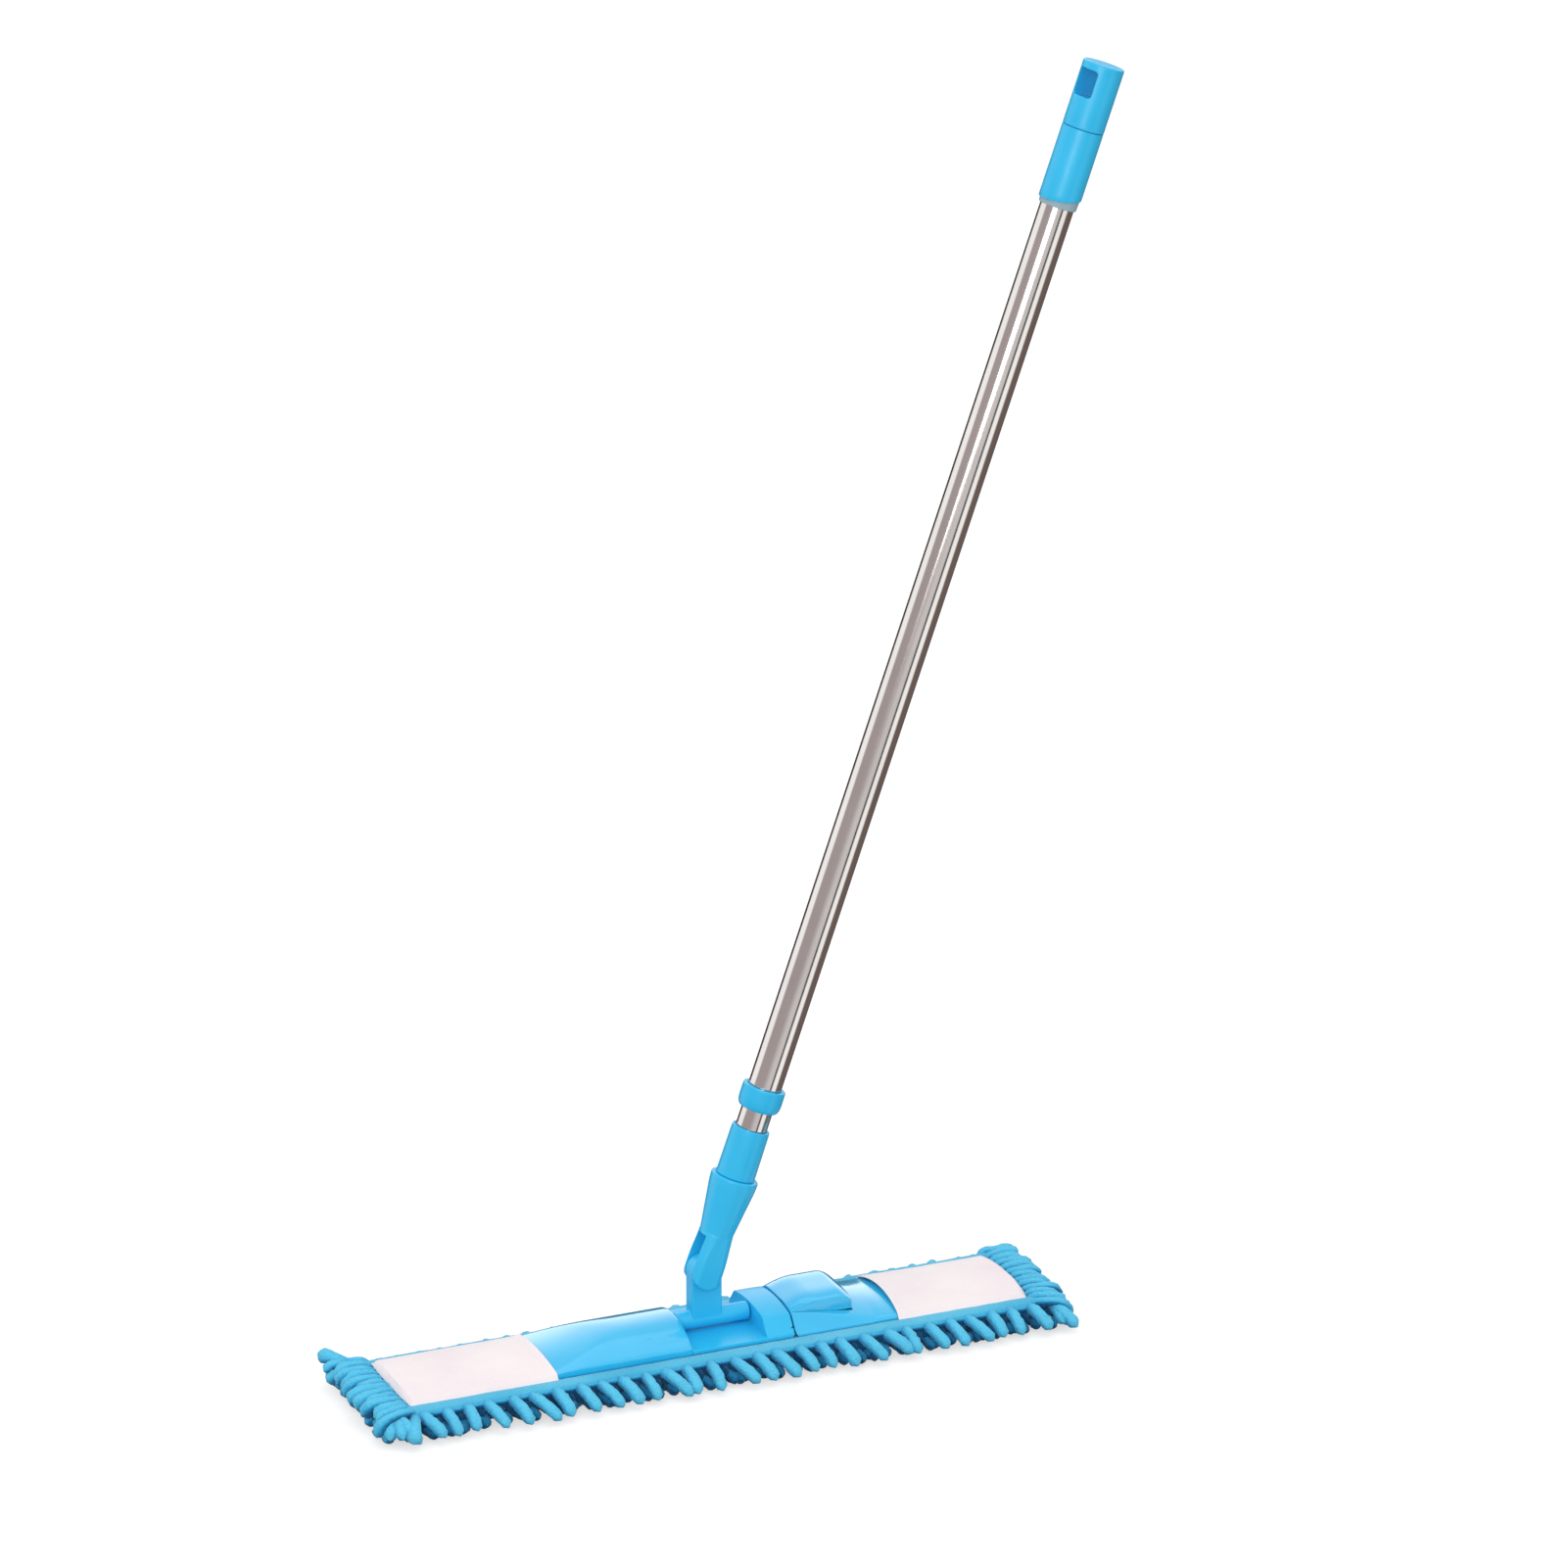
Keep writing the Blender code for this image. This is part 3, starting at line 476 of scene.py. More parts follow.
def flanged_height(y):
    """Section of the right-hand parts: a nearly flat top, and a steep flange along each edge."""
    top = CREST - TOP_SAG * (y / TOP_HALF_WIDTH) ** 2
    flange = FLANGE_FOOT + FLANGE_SLOPE * (PLATE_HALF_WIDTH - abs(y))
    return soft_min(top, flange, FLANGE_SOFTNESS)


def wing_height(x, y):
    """Top of a wing: its section across the head, cut down by slopes to the pocket mouth and the tip."""
    side = abs(x)
    crest_x = LEFT_CREST_X if x < 0 else RIGHT_CREST_X
    if side < MOUTH_X:
        ridge = MOUTH_CREST + (CREST - MOUTH_CREST) * (MOUTH_X - side) / (MOUTH_X - crest_x)
    else:
        ridge = MOUTH_CREST - (MOUTH_CREST - TIP_CREST) * (side - MOUTH_X) / (TIP_X - MOUTH_X)
    cross_fall = LEFT_CROSS_FALL if x < 0 else RIGHT_CROSS_FALL
    section = dome_height(y) if x < 0 else flanged_height(y)
    slope = ridge - min(cross_fall, ridge - EDGE_HEIGHT) * (y / PLATE_HALF_WIDTH) ** 2
    return soft_min(section, slope, CREASE_SOFTNESS)


def wing_half_width(x):
    """Plan outline: straight sides and a rounded corner at the tip."""
    past = abs(x) - (TIP_X - TIP_RADIUS)
    if past <= 0:
        return PLATE_HALF_WIDTH
    return PLATE_HALF_WIDTH - TIP_RADIUS + math.sqrt(max(TIP_RADIUS**2 - past**2, 0.0))


def height_solid(xs, ys, top, bottom, half_width=None):
    """A solid from a flat bottom up to a height field. With half_width, ys are shares of it."""
    bm = bmesh.new()
    rows = []
    for x in xs:
        width = half_width(x) if half_width else 1.0
        rows.append([bm.verts.new((x, y * width, top(x, y * width))) for y in ys])
    for row, following in zip(rows, rows[1:]):
        for i in range(len(ys) - 1):
            bm.faces.new((row[i], following[i], following[i + 1], row[i + 1]))
    rim = [row[0] for row in rows] + rows[-1][1:]
    rim += [row[-1] for row in rows[-2::-1]] + rows[0][-2:0:-1]
    foot = [bm.verts.new((v.co.x, v.co.y, bottom)) for v in rim]
    for i in range(len(rim)):
        j = (i + 1) % len(rim)
        bm.faces.new((rim[i], foot[i], foot[j], rim[j]))
    bm.faces.new(foot)
    return new_object(bm)


def wing_bay(x0, x1, half_width):
    """The hollow under a wing."""
    xs = spread(x0, x1, max(6, round((x1 - x0) / 5)))
    ys = spread(-half_width, half_width, 36)
    return height_solid(xs, ys, lambda x, y: wing_height(x, y) - WALL, PLATE_BOTTOM - 2)


ROW_SHARES = spread(-1, 1, 64)
BOSS_RADIUS = 3.6
LEFT_BAY_HALF_WIDTH = 35.2
RIGHT_BAY_HALF_WIDTH = 34.0
BAY_END = 236.0
TRAY_THICKNESS = 3.2


def make_left_wing():
    end = LEFT_HIGH.x
    xs = spread(-TIP_X, -TIP_X + TIP_RADIUS, 12)[:-1] + spread(-TIP_X + TIP_RADIUS, end, 90)
    wing = height_solid(xs, ROW_SHARES, wing_height, PLATE_BOTTOM, wing_half_width)
    half = LEFT_BAY_HALF_WIDTH
    cut(wing, wing_bay(-BAY_END, -66, half), wing_bay(-63, end + 5, half))
    foot = box("centre_bracket")[0].z + TRAY_THICKNESS + 0.4
    bosses = []
    for number in range(4):
        low, high = box(f"bracket_screw_{number + 1}")
        centre = (low + high) / 2
        centre.z = foot
        roof = Vector((centre.x, centre.y, wing_height(centre.x, centre.y) - WALL / 2))
        bosses.append(rod_solid(BOSS_RADIUS, centre, roof, steps=32))
    rounded_edges(wing, EDGE_RADIUS)
    joined(wing, *bosses)
    finish_piece(wing, "left_wing_shell", GLOSS, "head", "gloss_sky_plastic", "left_wing")


KNUCKLE_RADIUS = 3.2
KNUCKLE_EDGES = (-34.0, -22.0, -10.0, 10.0, 22.0, 34.0)
GAP = 0.35
NOTCH_RADIUS = KNUCKLE_RADIUS + 0.6
FOLD_HALF_ANGLE = math.radians(30.0)
WEDGE_BACK = 12.0
WEDGE_HALF_WIDTH = 90.0


def fold_rod(radius, y0, y1, rounding=0.0):
    return rod_solid(radius, (FOLD.x, y0, FOLD.z), (FOLD.x, y1, FOLD.z), rounding, steps=48)


def knuckle(i):
    return fold_rod(KNUCKLE_RADIUS, KNUCKLE_EDGES[i] + GAP, KNUCKLE_EDGES[i + 1] - GAP, 0.4)


def knuckle_notch(i):
    return fold_rod(NOTCH_RADIUS, KNUCKLE_EDGES[i] - GAP, KNUCKLE_EDGES[i + 1] + GAP)


def fold_wedge(side):
    """Keeps one side's material clear of the other's, below the fold, when the wing is down."""
    floor_z = PLATE_BOTTOM - 1
    lip = GAP + 0.05
    reach = lip + (FOLD.z - floor_z) * math.tan(FOLD_HALF_ANGLE)
    top = FOLD.z + 0.01
    back = -side * WEDGE_BACK
    bm = bmesh.new()
    corners = ((back, top), (side * lip, top), (side * reach, floor_z), (back, floor_z))
    bm.faces.new([bm.verts.new((FOLD.x + x, -WEDGE_HALF_WIDTH, z)) for x, z in corners])
    out = bmesh.ops.extrude_face_region(bm, geom=bm.faces[:])
    moved = [v for v in out["geom"] if isinstance(v, bmesh.types.BMVert)]
    bmesh.ops.translate(bm, vec=(0, 2 * WEDGE_HALF_WIDTH, 0), verts=moved)
    return new_object(bm)


PEDAL_HIGH = box("release_pedal")[1]
PEDAL_END = PEDAL_HIGH.x
PEDAL_HALF_WIDTH = PEDAL_HIGH.y
PEDAL_CREST = 45.0
PEDAL_SIDE_DROP = 3.5
PEDAL_SIDE_POWER = 4.5
PEDAL_BOTTOM = 30.6
PEDAL_FLOOR = 25.2
PEDAL_START = FOLD.x + 0.8


def make_right_wing():
    xs = spread(PEDAL_START, TIP_X - TIP_RADIUS, 84)[:-1] + spread(TIP_X - TIP_RADIUS, TIP_X, 12)
    wing = height_solid(xs, ROW_SHARES, wing_height, PLATE_BOTTOM, wing_half_width)
    reach = PEDAL_HALF_WIDTH + 0.6
    room = box_solid((PEDAL_START - 3, -reach, PEDAL_FLOOR), (PEDAL_END + 0.8, reach, 50))
    bay = wing_bay(114, BAY_END, RIGHT_BAY_HALF_WIDTH)
    cut(wing, room, bay, fold_wedge(1), knuckle_notch(1), knuckle_notch(3))
    rounded_edges(wing, 0.45, 45.0, 2)
    extras = []
    for side in (-1, 1):
        lug_y = side * 15.5
        x, z = PEDAL_PIN.x, PEDAL_PIN.z
        extras.append(box_solid((x - 4, lug_y - 2, 24.5), (x + 4, lug_y + 2, z), 0.3))
        extras.append(rod_solid(4.0, (x, lug_y - 2, z), (x, lug_y + 2, z), 0.3, steps=40))
    for i in (0, 2, 4):
        y0, y1 = KNUCKLE_EDGES[i] + GAP, KNUCKLE_EDGES[i + 1] - GAP
        extras.append(box_solid((FOLD.x, y0, FOLD.z - 0.6), (FOLD.x + 4, y1, FOLD.z + 2.2)))
        extras.append(knuckle(i))
    joined(wing, *extras)
    finish_piece(wing, "right_wing_shell", GLOSS, "folding_wing", "gloss_sky_plastic", "right_wing")


def make_bracket():
    low = box("centre_bracket")[0]
    tray_top = low.z + TRAY_THICKNESS
    block_left = 35.3
    half = PLATE_HALF_WIDTH
    tray_left = LEFT_HIGH.x + GAP
    bracket = box_solid((tray_left, -half, low.z), (FOLD.x - 0.4, half, tray_top), 0.4)
    tongue = box_solid((low.x, -34.6, low.z), (tray_left + 2, 34.6, tray_top), 0.4)
    cheek = height_solid(
        spread(-31.5, tray_left + 0.25, 4),
        spread(-33, 33, 48),
        lambda x, y: wing_height(-28, y) - WALL - 0.5,
        low.z + 1,
    )
    block_xs = spread(block_left, FOLD.x - 0.6, 14)
    block = height_solid(block_xs, spread(-half, half, 64), wing_height, low.z + 1)
    rounded_edges(block, 0.7)
    joined(bracket, tongue, cheek, block)
    keeper = box_solid((50.5, -10.5, 26.5), (53.0, 10.5, 30.0), 0.2)
    cut(bracket, box_solid((45, -10, 27.4), (FOLD.x + 1, 10, 38.0)))
    joined(bracket, keeper)
    bore = rod_solid(2.8, (-40, 0, BARREL.z), (43, 0, BARREL.z), steps=40)
    cut(bracket, bore, fold_wedge(-1), knuckle_notch(0), knuckle_notch(2), knuckle_notch(4))
    joined(bracket, knuckle(1), knuckle(3))
    finish_piece(bracket, "centre_bracket_moulding", SKY, "head", "sky_plastic", "centre_bracket")


def pedal_height(x, y):
    """A low pillow that rises from the groove and rounds off at the free end."""
    along = (x - FOLD.x) / (PEDAL_END - FOLD.x)
    rise = math.sin(min(along / 0.45, 1.0) * math.pi / 2)
    fall = max((along - 0.82) / 0.18, 0.0) ** 2
    ridge = CREST + (PEDAL_CREST - CREST) * rise - 4.2 * fall
    return ridge - PEDAL_SIDE_DROP * (abs(y) / PEDAL_HALF_WIDTH) ** PEDAL_SIDE_POWER


def make_pedal():
    start = PEDAL_START
    half = PEDAL_HALF_WIDTH
    pedal = height_solid(spread(start, PEDAL_END, 56), spread(-half, half, 48), pedal_height, PEDAL_BOTTOM)
    rounded_edges(pedal, 0.9, 40.0, 4)
    hollow = height_solid(
        spread(start + 2.2, PEDAL_END - 2.6, 24),
        spread(-half + 2.4, half - 2.4, 24),
        lambda x, y: pedal_height(x, y) - WALL,
        PEDAL_BOTTOM - 1,
    )
    cut(pedal, hollow)
    x, z = PEDAL_PIN.x, PEDAL_PIN.z
    extras = []
    for side in (-1, 1):
        y0, y1 = side * 10 - 2, side * 10 + 2
        extras.append(box_solid((x - 3.5, y0, z - 0.5), (x + 3.5, y1, 40.0)))
        extras.append(rod_solid(3.5, (x, y0, z), (x, y1, z), steps=32))
    extras.append(box_solid((66.0, -9.0, 31.0), (69.0, 9.0, 40.8)))
    extras.append(box_solid((48.6, -8.0, 31.0), (67.5, 8.0, 33.4)))
    extras.append(box_solid((47.6, -8.0, 30.6), (49.6, 8.0, 33.4)))
    joined(pedal, *extras)
    finish_piece(pedal, "release_pedal_moulding", GLOSS, "pedal", "gloss_sky_plastic", "release_pedal")


SPRING_TURNS = 4.5
SPRING_RADIUS = 4.0
SPRING_WIRE = 0.55
# Painted shade: how much darker a tuft is painted on the side away from its open direction.
HIDDEN_SIDE_SHADE = 0.5  # how much darker a tuft is on its hidden side
LUMPS = 0.24  # how rough a tuft is, as a share of its radius
LUMP_SIZE = 2.2
FLOOR_CLEARANCE = 0.3


def tube_along(bm, path, radii, sides, nap=None):
    """A closed tube along points, one radius a point. A nap (layer, shade values, open direction, hidden
    side's extra shade) makes it
    lumpy and paints shade on it: a shade value for each point, and up to that extra shade on the side away
    from the open one."""
    rings = []
    side = Vector((0, 0, 1))
    for i, point in enumerate(path):
        forward = (path[min(i + 1, len(path) - 1)] - path[max(i - 1, 0)]).normalized()
        if i == 0 and abs(forward.z) > 0.9:
            side = Vector((1, 0, 0))
        side = (side - forward * side.dot(forward)).normalized()
        other = forward.cross(side)
        ring = []
        for k in range(sides):
            angle = 2 * math.pi * k / sides
            out = side * math.cos(angle) + other * math.sin(angle)
            spot = point + out * radii[i]
            if nap:
                spot += out * radii[i] * LUMPS * wobble(spot.x, spot.y, spot.z, LUMP_SIZE)
                spot.z = max(spot.z, FLOOR_CLEARANCE)
            ring.append(bm.verts.new(spot))
            if nap:
                layer, painted_shades, open_to, hidden_shade = nap
                # Painted shade: the point's value, plus more shade on the side turned away from the open
                # direction.
                ring[-1][layer] = painted_shades[i] + hidden_shade * (1 - smooth_step(0.25 + 0.9 * out.dot(open_to)))
        rings.append(ring)
    for ring, following in zip(rings, rings[1:]):
        for k in range(sides):
            n = (k + 1) % sides
            bm.faces.new((ring[k], ring[n], following[n], following[k]))
    bm.faces.new(rings[0][::-1])
    bm.faces.new(rings[-1])


def make_spring():
    low, high = box("pedal_spring")
    centre = (low + high) / 2
    steps = 160
    rise = high.z - low.z - 2 * SPRING_WIRE
    path = []
    for i in range(steps + 1):
        angle = 2 * math.pi * SPRING_TURNS * i / steps
        height = low.z + SPRING_WIRE + rise * i / steps
        x = centre.x + SPRING_RADIUS * math.cos(angle)
        path.append(Vector((x, centre.y + SPRING_RADIUS * math.sin(angle), height)))
    bm = bmesh.new()
    tube_along(bm, path, [SPRING_WIRE] * len(path), 10)
    coil = new_object(bm)
    finish_piece(coil, "pedal_spring_coil", STEEL, "folding_wing", "steel_pins", "pedal_spring")
    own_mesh(coil)


# The swivel and the pole


def make_swivel():
    low, high = box("swivel_barrel")
    radius = BARREL.z - low.z
    barrel = rod_solid(radius, (low.x, 0, BARREL.z), (high.x, 0, BARREL.z), 0.8)
    half_width, half_depth = 12.0, 6.5
    top_z = PIN.z + 0.7
    stub = box_solid((-half_width, -half_depth, BARREL.z), (half_width, half_depth, top_z), 1.2)
    stub_head = rod_solid(half_width, (0, -half_depth, PIN.z), (0, half_depth, PIN.z), 1.0)
    joined(barrel, stub, stub_head)
    axle_bore = rod_solid(2.8, (-30, 0, BARREL.z), (40, 0, BARREL.z), steps=40)
    pin_bore = rod_solid(3.25, (0, -20, PIN.z), (0, 20, PIN.z), steps=40)
    cut(barrel, axle_bore, pin_bore)
    softened(barrel, 0.5, 5)
    finish_piece(barrel, "swivel_barrel_moulding", SKY, "yoke", "sky_plastic", "swivel_barrel")


def make_socket():
    _, top, radius = along_pole("handle_socket")
    fork_depth = 12.4
    profile = [
        (radius, top, 1.2),
        (radius - 0.2, top - 6.4, 3.0),
        (12.6, 30.0, 4.0),
        (12.3, 6.0, 0.5),
        (0.0, 6.0, 0),
        (0.0, 50.0, 0),
        (11.7, 50.0, 0.3),
        (11.7, top, 0.8),
    ]
    socket = turned_solid(profile)
    ears = box_solid((-12.2, -fork_depth, 0), (12.2, fork_depth, 30), 1.5, POLE)
    ear_round = rod_solid(12.2, (0, -fork_depth - 0.05, 0), (0, fork_depth + 0.05, 0), 1.6, POLE, 96)
    joined(ears, ear_round)
    ear_outline = [
        (14.6, -14, 0),
        (0, -14, 0),
        (0, 40, 0),
        (12.6, 40, 0),
        (13.2, 26, 6.0),
        (14.6, 8, 6.0),
    ]
    combine(ears, "INTERSECT", [turned_solid(ear_outline)])
    joined(socket, ears)
    slot = box_solid((-20, -6.9, -20), (20, 6.9, 28), 0, POLE)
    across = POLE @ Matrix.Rotation(math.radians(-90), 4, "X")
    bore_profile = [
        (0, -10.9, 0),
        (3.2, -10.9, 0),
        (3.2, 11.2, 0),
        (4.7, 11.2, 0),
        (4.7, 20, 0),
        (0, 20, 0),
    ]
    cut(socket, slot, turned_solid(bore_profile, across, 48))
    softened(socket, 0.5, 5)
    finish_piece(socket, "handle_socket_moulding", SKY, "lower_pole", "sky_plastic", "handle_socket")


def make_ferrule():
    _, top, _ = along_pole("threaded_ferrule")
    socket_top = along_pole("handle_socket")[1]
    shoulder = socket_top + GAP
    bore = along_pole("inner_tube")[2] + 0.35
    profile = [(14.2, top, 0.9), (14.4, top - 4, 0), (14.7, shoulder, 0.4), (10.6, shoulder, 0.2)]
    for turn in range(4):
        crest = socket_top - 3.0 - turn * 5.0
        profile += [(10.6, crest, 0.2), (11.4, crest - 1.2, 0.4), (10.6, crest - 2.4, 0.2)]
    profile += [(10.6, 52.0, 0.6), (8.0, 52.0, 0.3), (8.0, 80.0, 0), (bore, 80.0, 0), (bore, top, 0.5)]
    ferrule = turned_solid(profile)
    finish_piece(ferrule, "ferrule_moulding", SKY, "lower_pole", "sky_plastic", "threaded_ferrule")


def make_tube(node, bore, body):
    low, high, radius = along_pole(node)
    profile = [(radius, high, 0.15), (radius, low, 0.15), (bore, low, 0.1), (bore, high, 0.1)]
    tube = turned_solid(profile, steps=144)
    finish_piece(tube, node + "_drawn", TUBE, body, "stainless_tube", node)


def make_collar():
    low, high, _ = along_pole("tube_collar")
    seat = along_pole("inner_tube")[2] + 0.35
    bore = along_pole("outer_tube")[2] + 0.3
    profile = [
        (15.6, high, 0.6),
        (16.2, high - 0.8, 0.8),
        (16.3, low + 6, 2.0),
        (15.7, low + 2.3, 1.6),
        (14.2, low, 1.2),
        (seat, low, 0.4),
        (seat, low + 2.9, 0),
        (bore, low + 2.9, 0),
        (bore, high, 0.5),
    ]
    collar = turned_solid(profile)
    finish_piece(collar, "tube_collar_moulding", SKY, "upper_pole", "sky_plastic", "tube_collar")


SKIRT_DROP = 5.0  # the sleeve's lower edge is cut on a slant and covers one side of the ring


def make_grip():
    bore = along_pole("outer_tube")[2] + 0.3
    low, high, radius = along_pole("grip_ring")
    ring = [(radius, high, 0.4), (radius - 0.4, low, 0.8), (bore, low, 0.3), (bore, high, 0.2)]
    finish_piece(turned_solid(ring), "grip_ring_moulding", GREY, "upper_pole", "grey_plastic", "grip_ring")
    low, high, radius = along_pole("grip_sleeve")
    lip = radius - 0.9
    sleeve = [
        (radius, high, 0.35),
        (radius, low + 9, 0),
        (radius, low + 6, 0),
        (radius, low + 3, 0),
        (radius, low, 0.4),
        (lip, low, 0.2),
        (lip, low + 0.5, 0),
        (bore, low + 0.5, 0),
        (bore, high, 0.2),
    ]
    grip = turned_solid(sleeve)
    to_pole = POLE.inverted()
    for vertex in grip.data.vertices:
        spot = to_pole @ (vertex.co / MM)
        if spot.z < low + 0.4:
            spot.z -= SKIRT_DROP * (1 - spot.x / radius) / 2
            vertex.co = (POLE @ spot) * MM
    finish_piece(grip, "grip_sleeve_moulding", SKY, "upper_pole", "sky_plastic", "grip_sleeve")


SLOT_HALF_WIDTH = 8.5
SLOT_ENDS = (913.5, 933.7)
SLOT_TURN = math.radians(-70.0)


def make_cap():
    _, top, radius = along_pole("hanging_cap")
    sleeve_top = along_pole("grip_sleeve")[1]
    shoulder = sleeve_top + GAP
    plug = along_pole("outer_tube")[2] - 0.8
    profile = [
        (radius, top, 1.6),
        (radius, shoulder, 0.35),
        (plug, shoulder, 0.3),
        (plug, shoulder - 22, 1.0),
        (0.0, shoulder - 22, 0),
        (0.0, top, 0),
    ]
    cap = turned_solid(profile)
    low, high = SLOT_ENDS
    place = POLE @ Matrix.Rotation(SLOT_TURN, 4, "Z")
    slot = box_solid((-SLOT_HALF_WIDTH, -30, low), (SLOT_HALF_WIDTH, 30, high), 2.4, place)
    cut(cap, slot)
    softened(cap, 0.42, 5)
    finish_piece(cap, "hanging_cap_moulding", SKY, "upper_pole", "sky_plastic", "hanging_cap")


def dress_small_parts():
    """CAD parts whose shape stays, with their finished materials."""
    pins = ["barrel_axle", "fold_hinge_pin", "yoke_pin", "pedal_pin"]
    screws = [f"bracket_screw_{number + 1}" for number in range(4)]
    looks = {name: STEEL for name in pins + screws}
    looks["lock_plug"] = NYLON
    looks["lock_ring"] = DEEP
    for name, material in looks.items():
        mesh = frame["nodes"][name].data
        mesh.materials.clear()
        mesh.materials.append(material)


# The pad: chenille tufts under a quilted cushion, bound with tape, with a cloth pocket over each wing's tip

PILE_ROOT = 12.0  # the cushion's underside, where the tufts start
TUFT_RADIUS = 4.5
TUFT_SIDES = 14
TUFT_STEPS = 13
EDGE_PITCH = 17.4
RIB_PITCH = 8.3
RIB_COUNT = 13
RIB_RADIUS = 3.9
SEED = 41


def curve_points(knots, count):
    """Points along a smooth curve through the knots."""
    ends = [knots[0] * 2 - knots[1]] + knots + [knots[-1] * 2 - knots[-2]]
    points = []
    spans = len(knots) - 1
    for step in range(count + 1):
        place = spans * step / count
        i = min(int(place), spans - 1)
        t = place - i
        a, b, c, d = ends[i : i + 4]
        points.append(
            0.5 * (2 * b + (c - a) * t + (2 * a - 5 * b + 4 * c - d) * t * t + (3 * b - a - 3 * c + d) * t**3)
        )
    return points


def add_tuft(bm, layer, knots, radius, root_shade, tip_shade, open_to, bulb=0.0, hidden_shade=HIDDEN_SIDE_SHADE):
    """One chenille finger: round in section, a little thicker towards a rounded tip, painted with shade from
    its root's value to its tip's, darker on its hidden side.
    """
    count = TUFT_STEPS
    path = curve_points([Vector(knot) for knot in knots], count)
    length = sum((b - a).length for a, b in zip(path, path[1:]))
    radii = []
    painted_shades = []
    for i in range(count + 1):
        t = i / count
        swell = radius * (0.86 + 0.14 * smooth_step(t * 2.5) + bulb * smooth_step((t - 0.45) / 0.4))
        left = (1 - t) * length / swell
        if left < 1:
            swell *= math.sqrt(max(1 - (1 - left) ** 2, 0.03))
        radii.append(swell)
        # Painted shade, from the root's value to the tip's.
        painted_shades.append(root_shade + (tip_shade - root_shade) * smooth_step(t * 1.6))
    tube_along(bm, path, radii, TUFT_SIDES, (layer, painted_shades, Vector(open_to).normalized(), hidden_shade))


def add_edge_tufts(bm, layer, rng, side):
    """Rows of fingers along a long edge, which lean along the head as they hang, the lower rows painted dark
    as shade.
    """
    edge = PAD_HALF_WIDTH
    reach = PILE_HALF_WIDTH + 4.0
    pitch = EDGE_PITCH
    count = round(2 * (PAD_HALF_LENGTH - 12) / pitch)
    # Painted shade: every finger is painted darker on the side turned away from this direction.
    open_to = (0.25, side * 0.8, 0.6)
    root_z = 16.4 if side < 0 else 14.0
    for i in range(count + 1):
        x = -PAD_HALF_LENGTH + 12 + i * pitch + rng.uniform(-2.0, 2.0)
        lean = rng.gauss(9.0, 4.5)
        out = reach + rng.uniform(-3.5, 2.0)
        drop = rng.uniform(4.6, 6.2)
        knots = [
            (x, side * (edge - 9), root_z - 2.2),
            (x + lean * 0.1, side * (edge - 1.0), root_z),
            (x + lean * 0.5, side * (edge + (out - edge) * 0.55), root_z - 3.4),
            (x + lean, side * out, drop),
        ]
        add_tuft(bm, layer, knots, TUFT_RADIUS * rng.uniform(0.92, 1.08), 0.25, -0.05, open_to)
    for i in range(2 * count):
        x = -PAD_HALF_LENGTH + 14 + (i + 0.5) * pitch / 2 + rng.uniform(-2.0, 2.0)
        lean = rng.gauss(6.0, 5.0)
        out = reach - rng.uniform(5.0, 10.0)
        knots = [
            (x, side * (edge - 14), 8.0),
            (x + lean * 0.4, side * (edge - 2), 7.6),
            (x + lean, side * out, 5.0),
        ]
        # Painted shade: this lower row is painted dark at the root and a little lighter at the tip.
        add_tuft(bm, layer, knots, TUFT_RADIUS * rng.uniform(0.9, 1.0), 1.2, 0.62, open_to)
    # Painted shade: a back row painted almost at the darkest shade, so that the gaps between the fingers read
    # as shade.
    for i in range(2 * count):
        x = -PAD_HALF_LENGTH + 12 + i * pitch / 2 + rng.uniform(-2.0, 2.0)
        knots = [(x, side * (edge - 16), 12.5), (x, side * (edge - 8), 12.5), (x + 2, side * (edge + 4), 9.0)]
        add_tuft(bm, layer, knots, TUFT_RADIUS * 0.95, 1.2, 1.0, open_to)


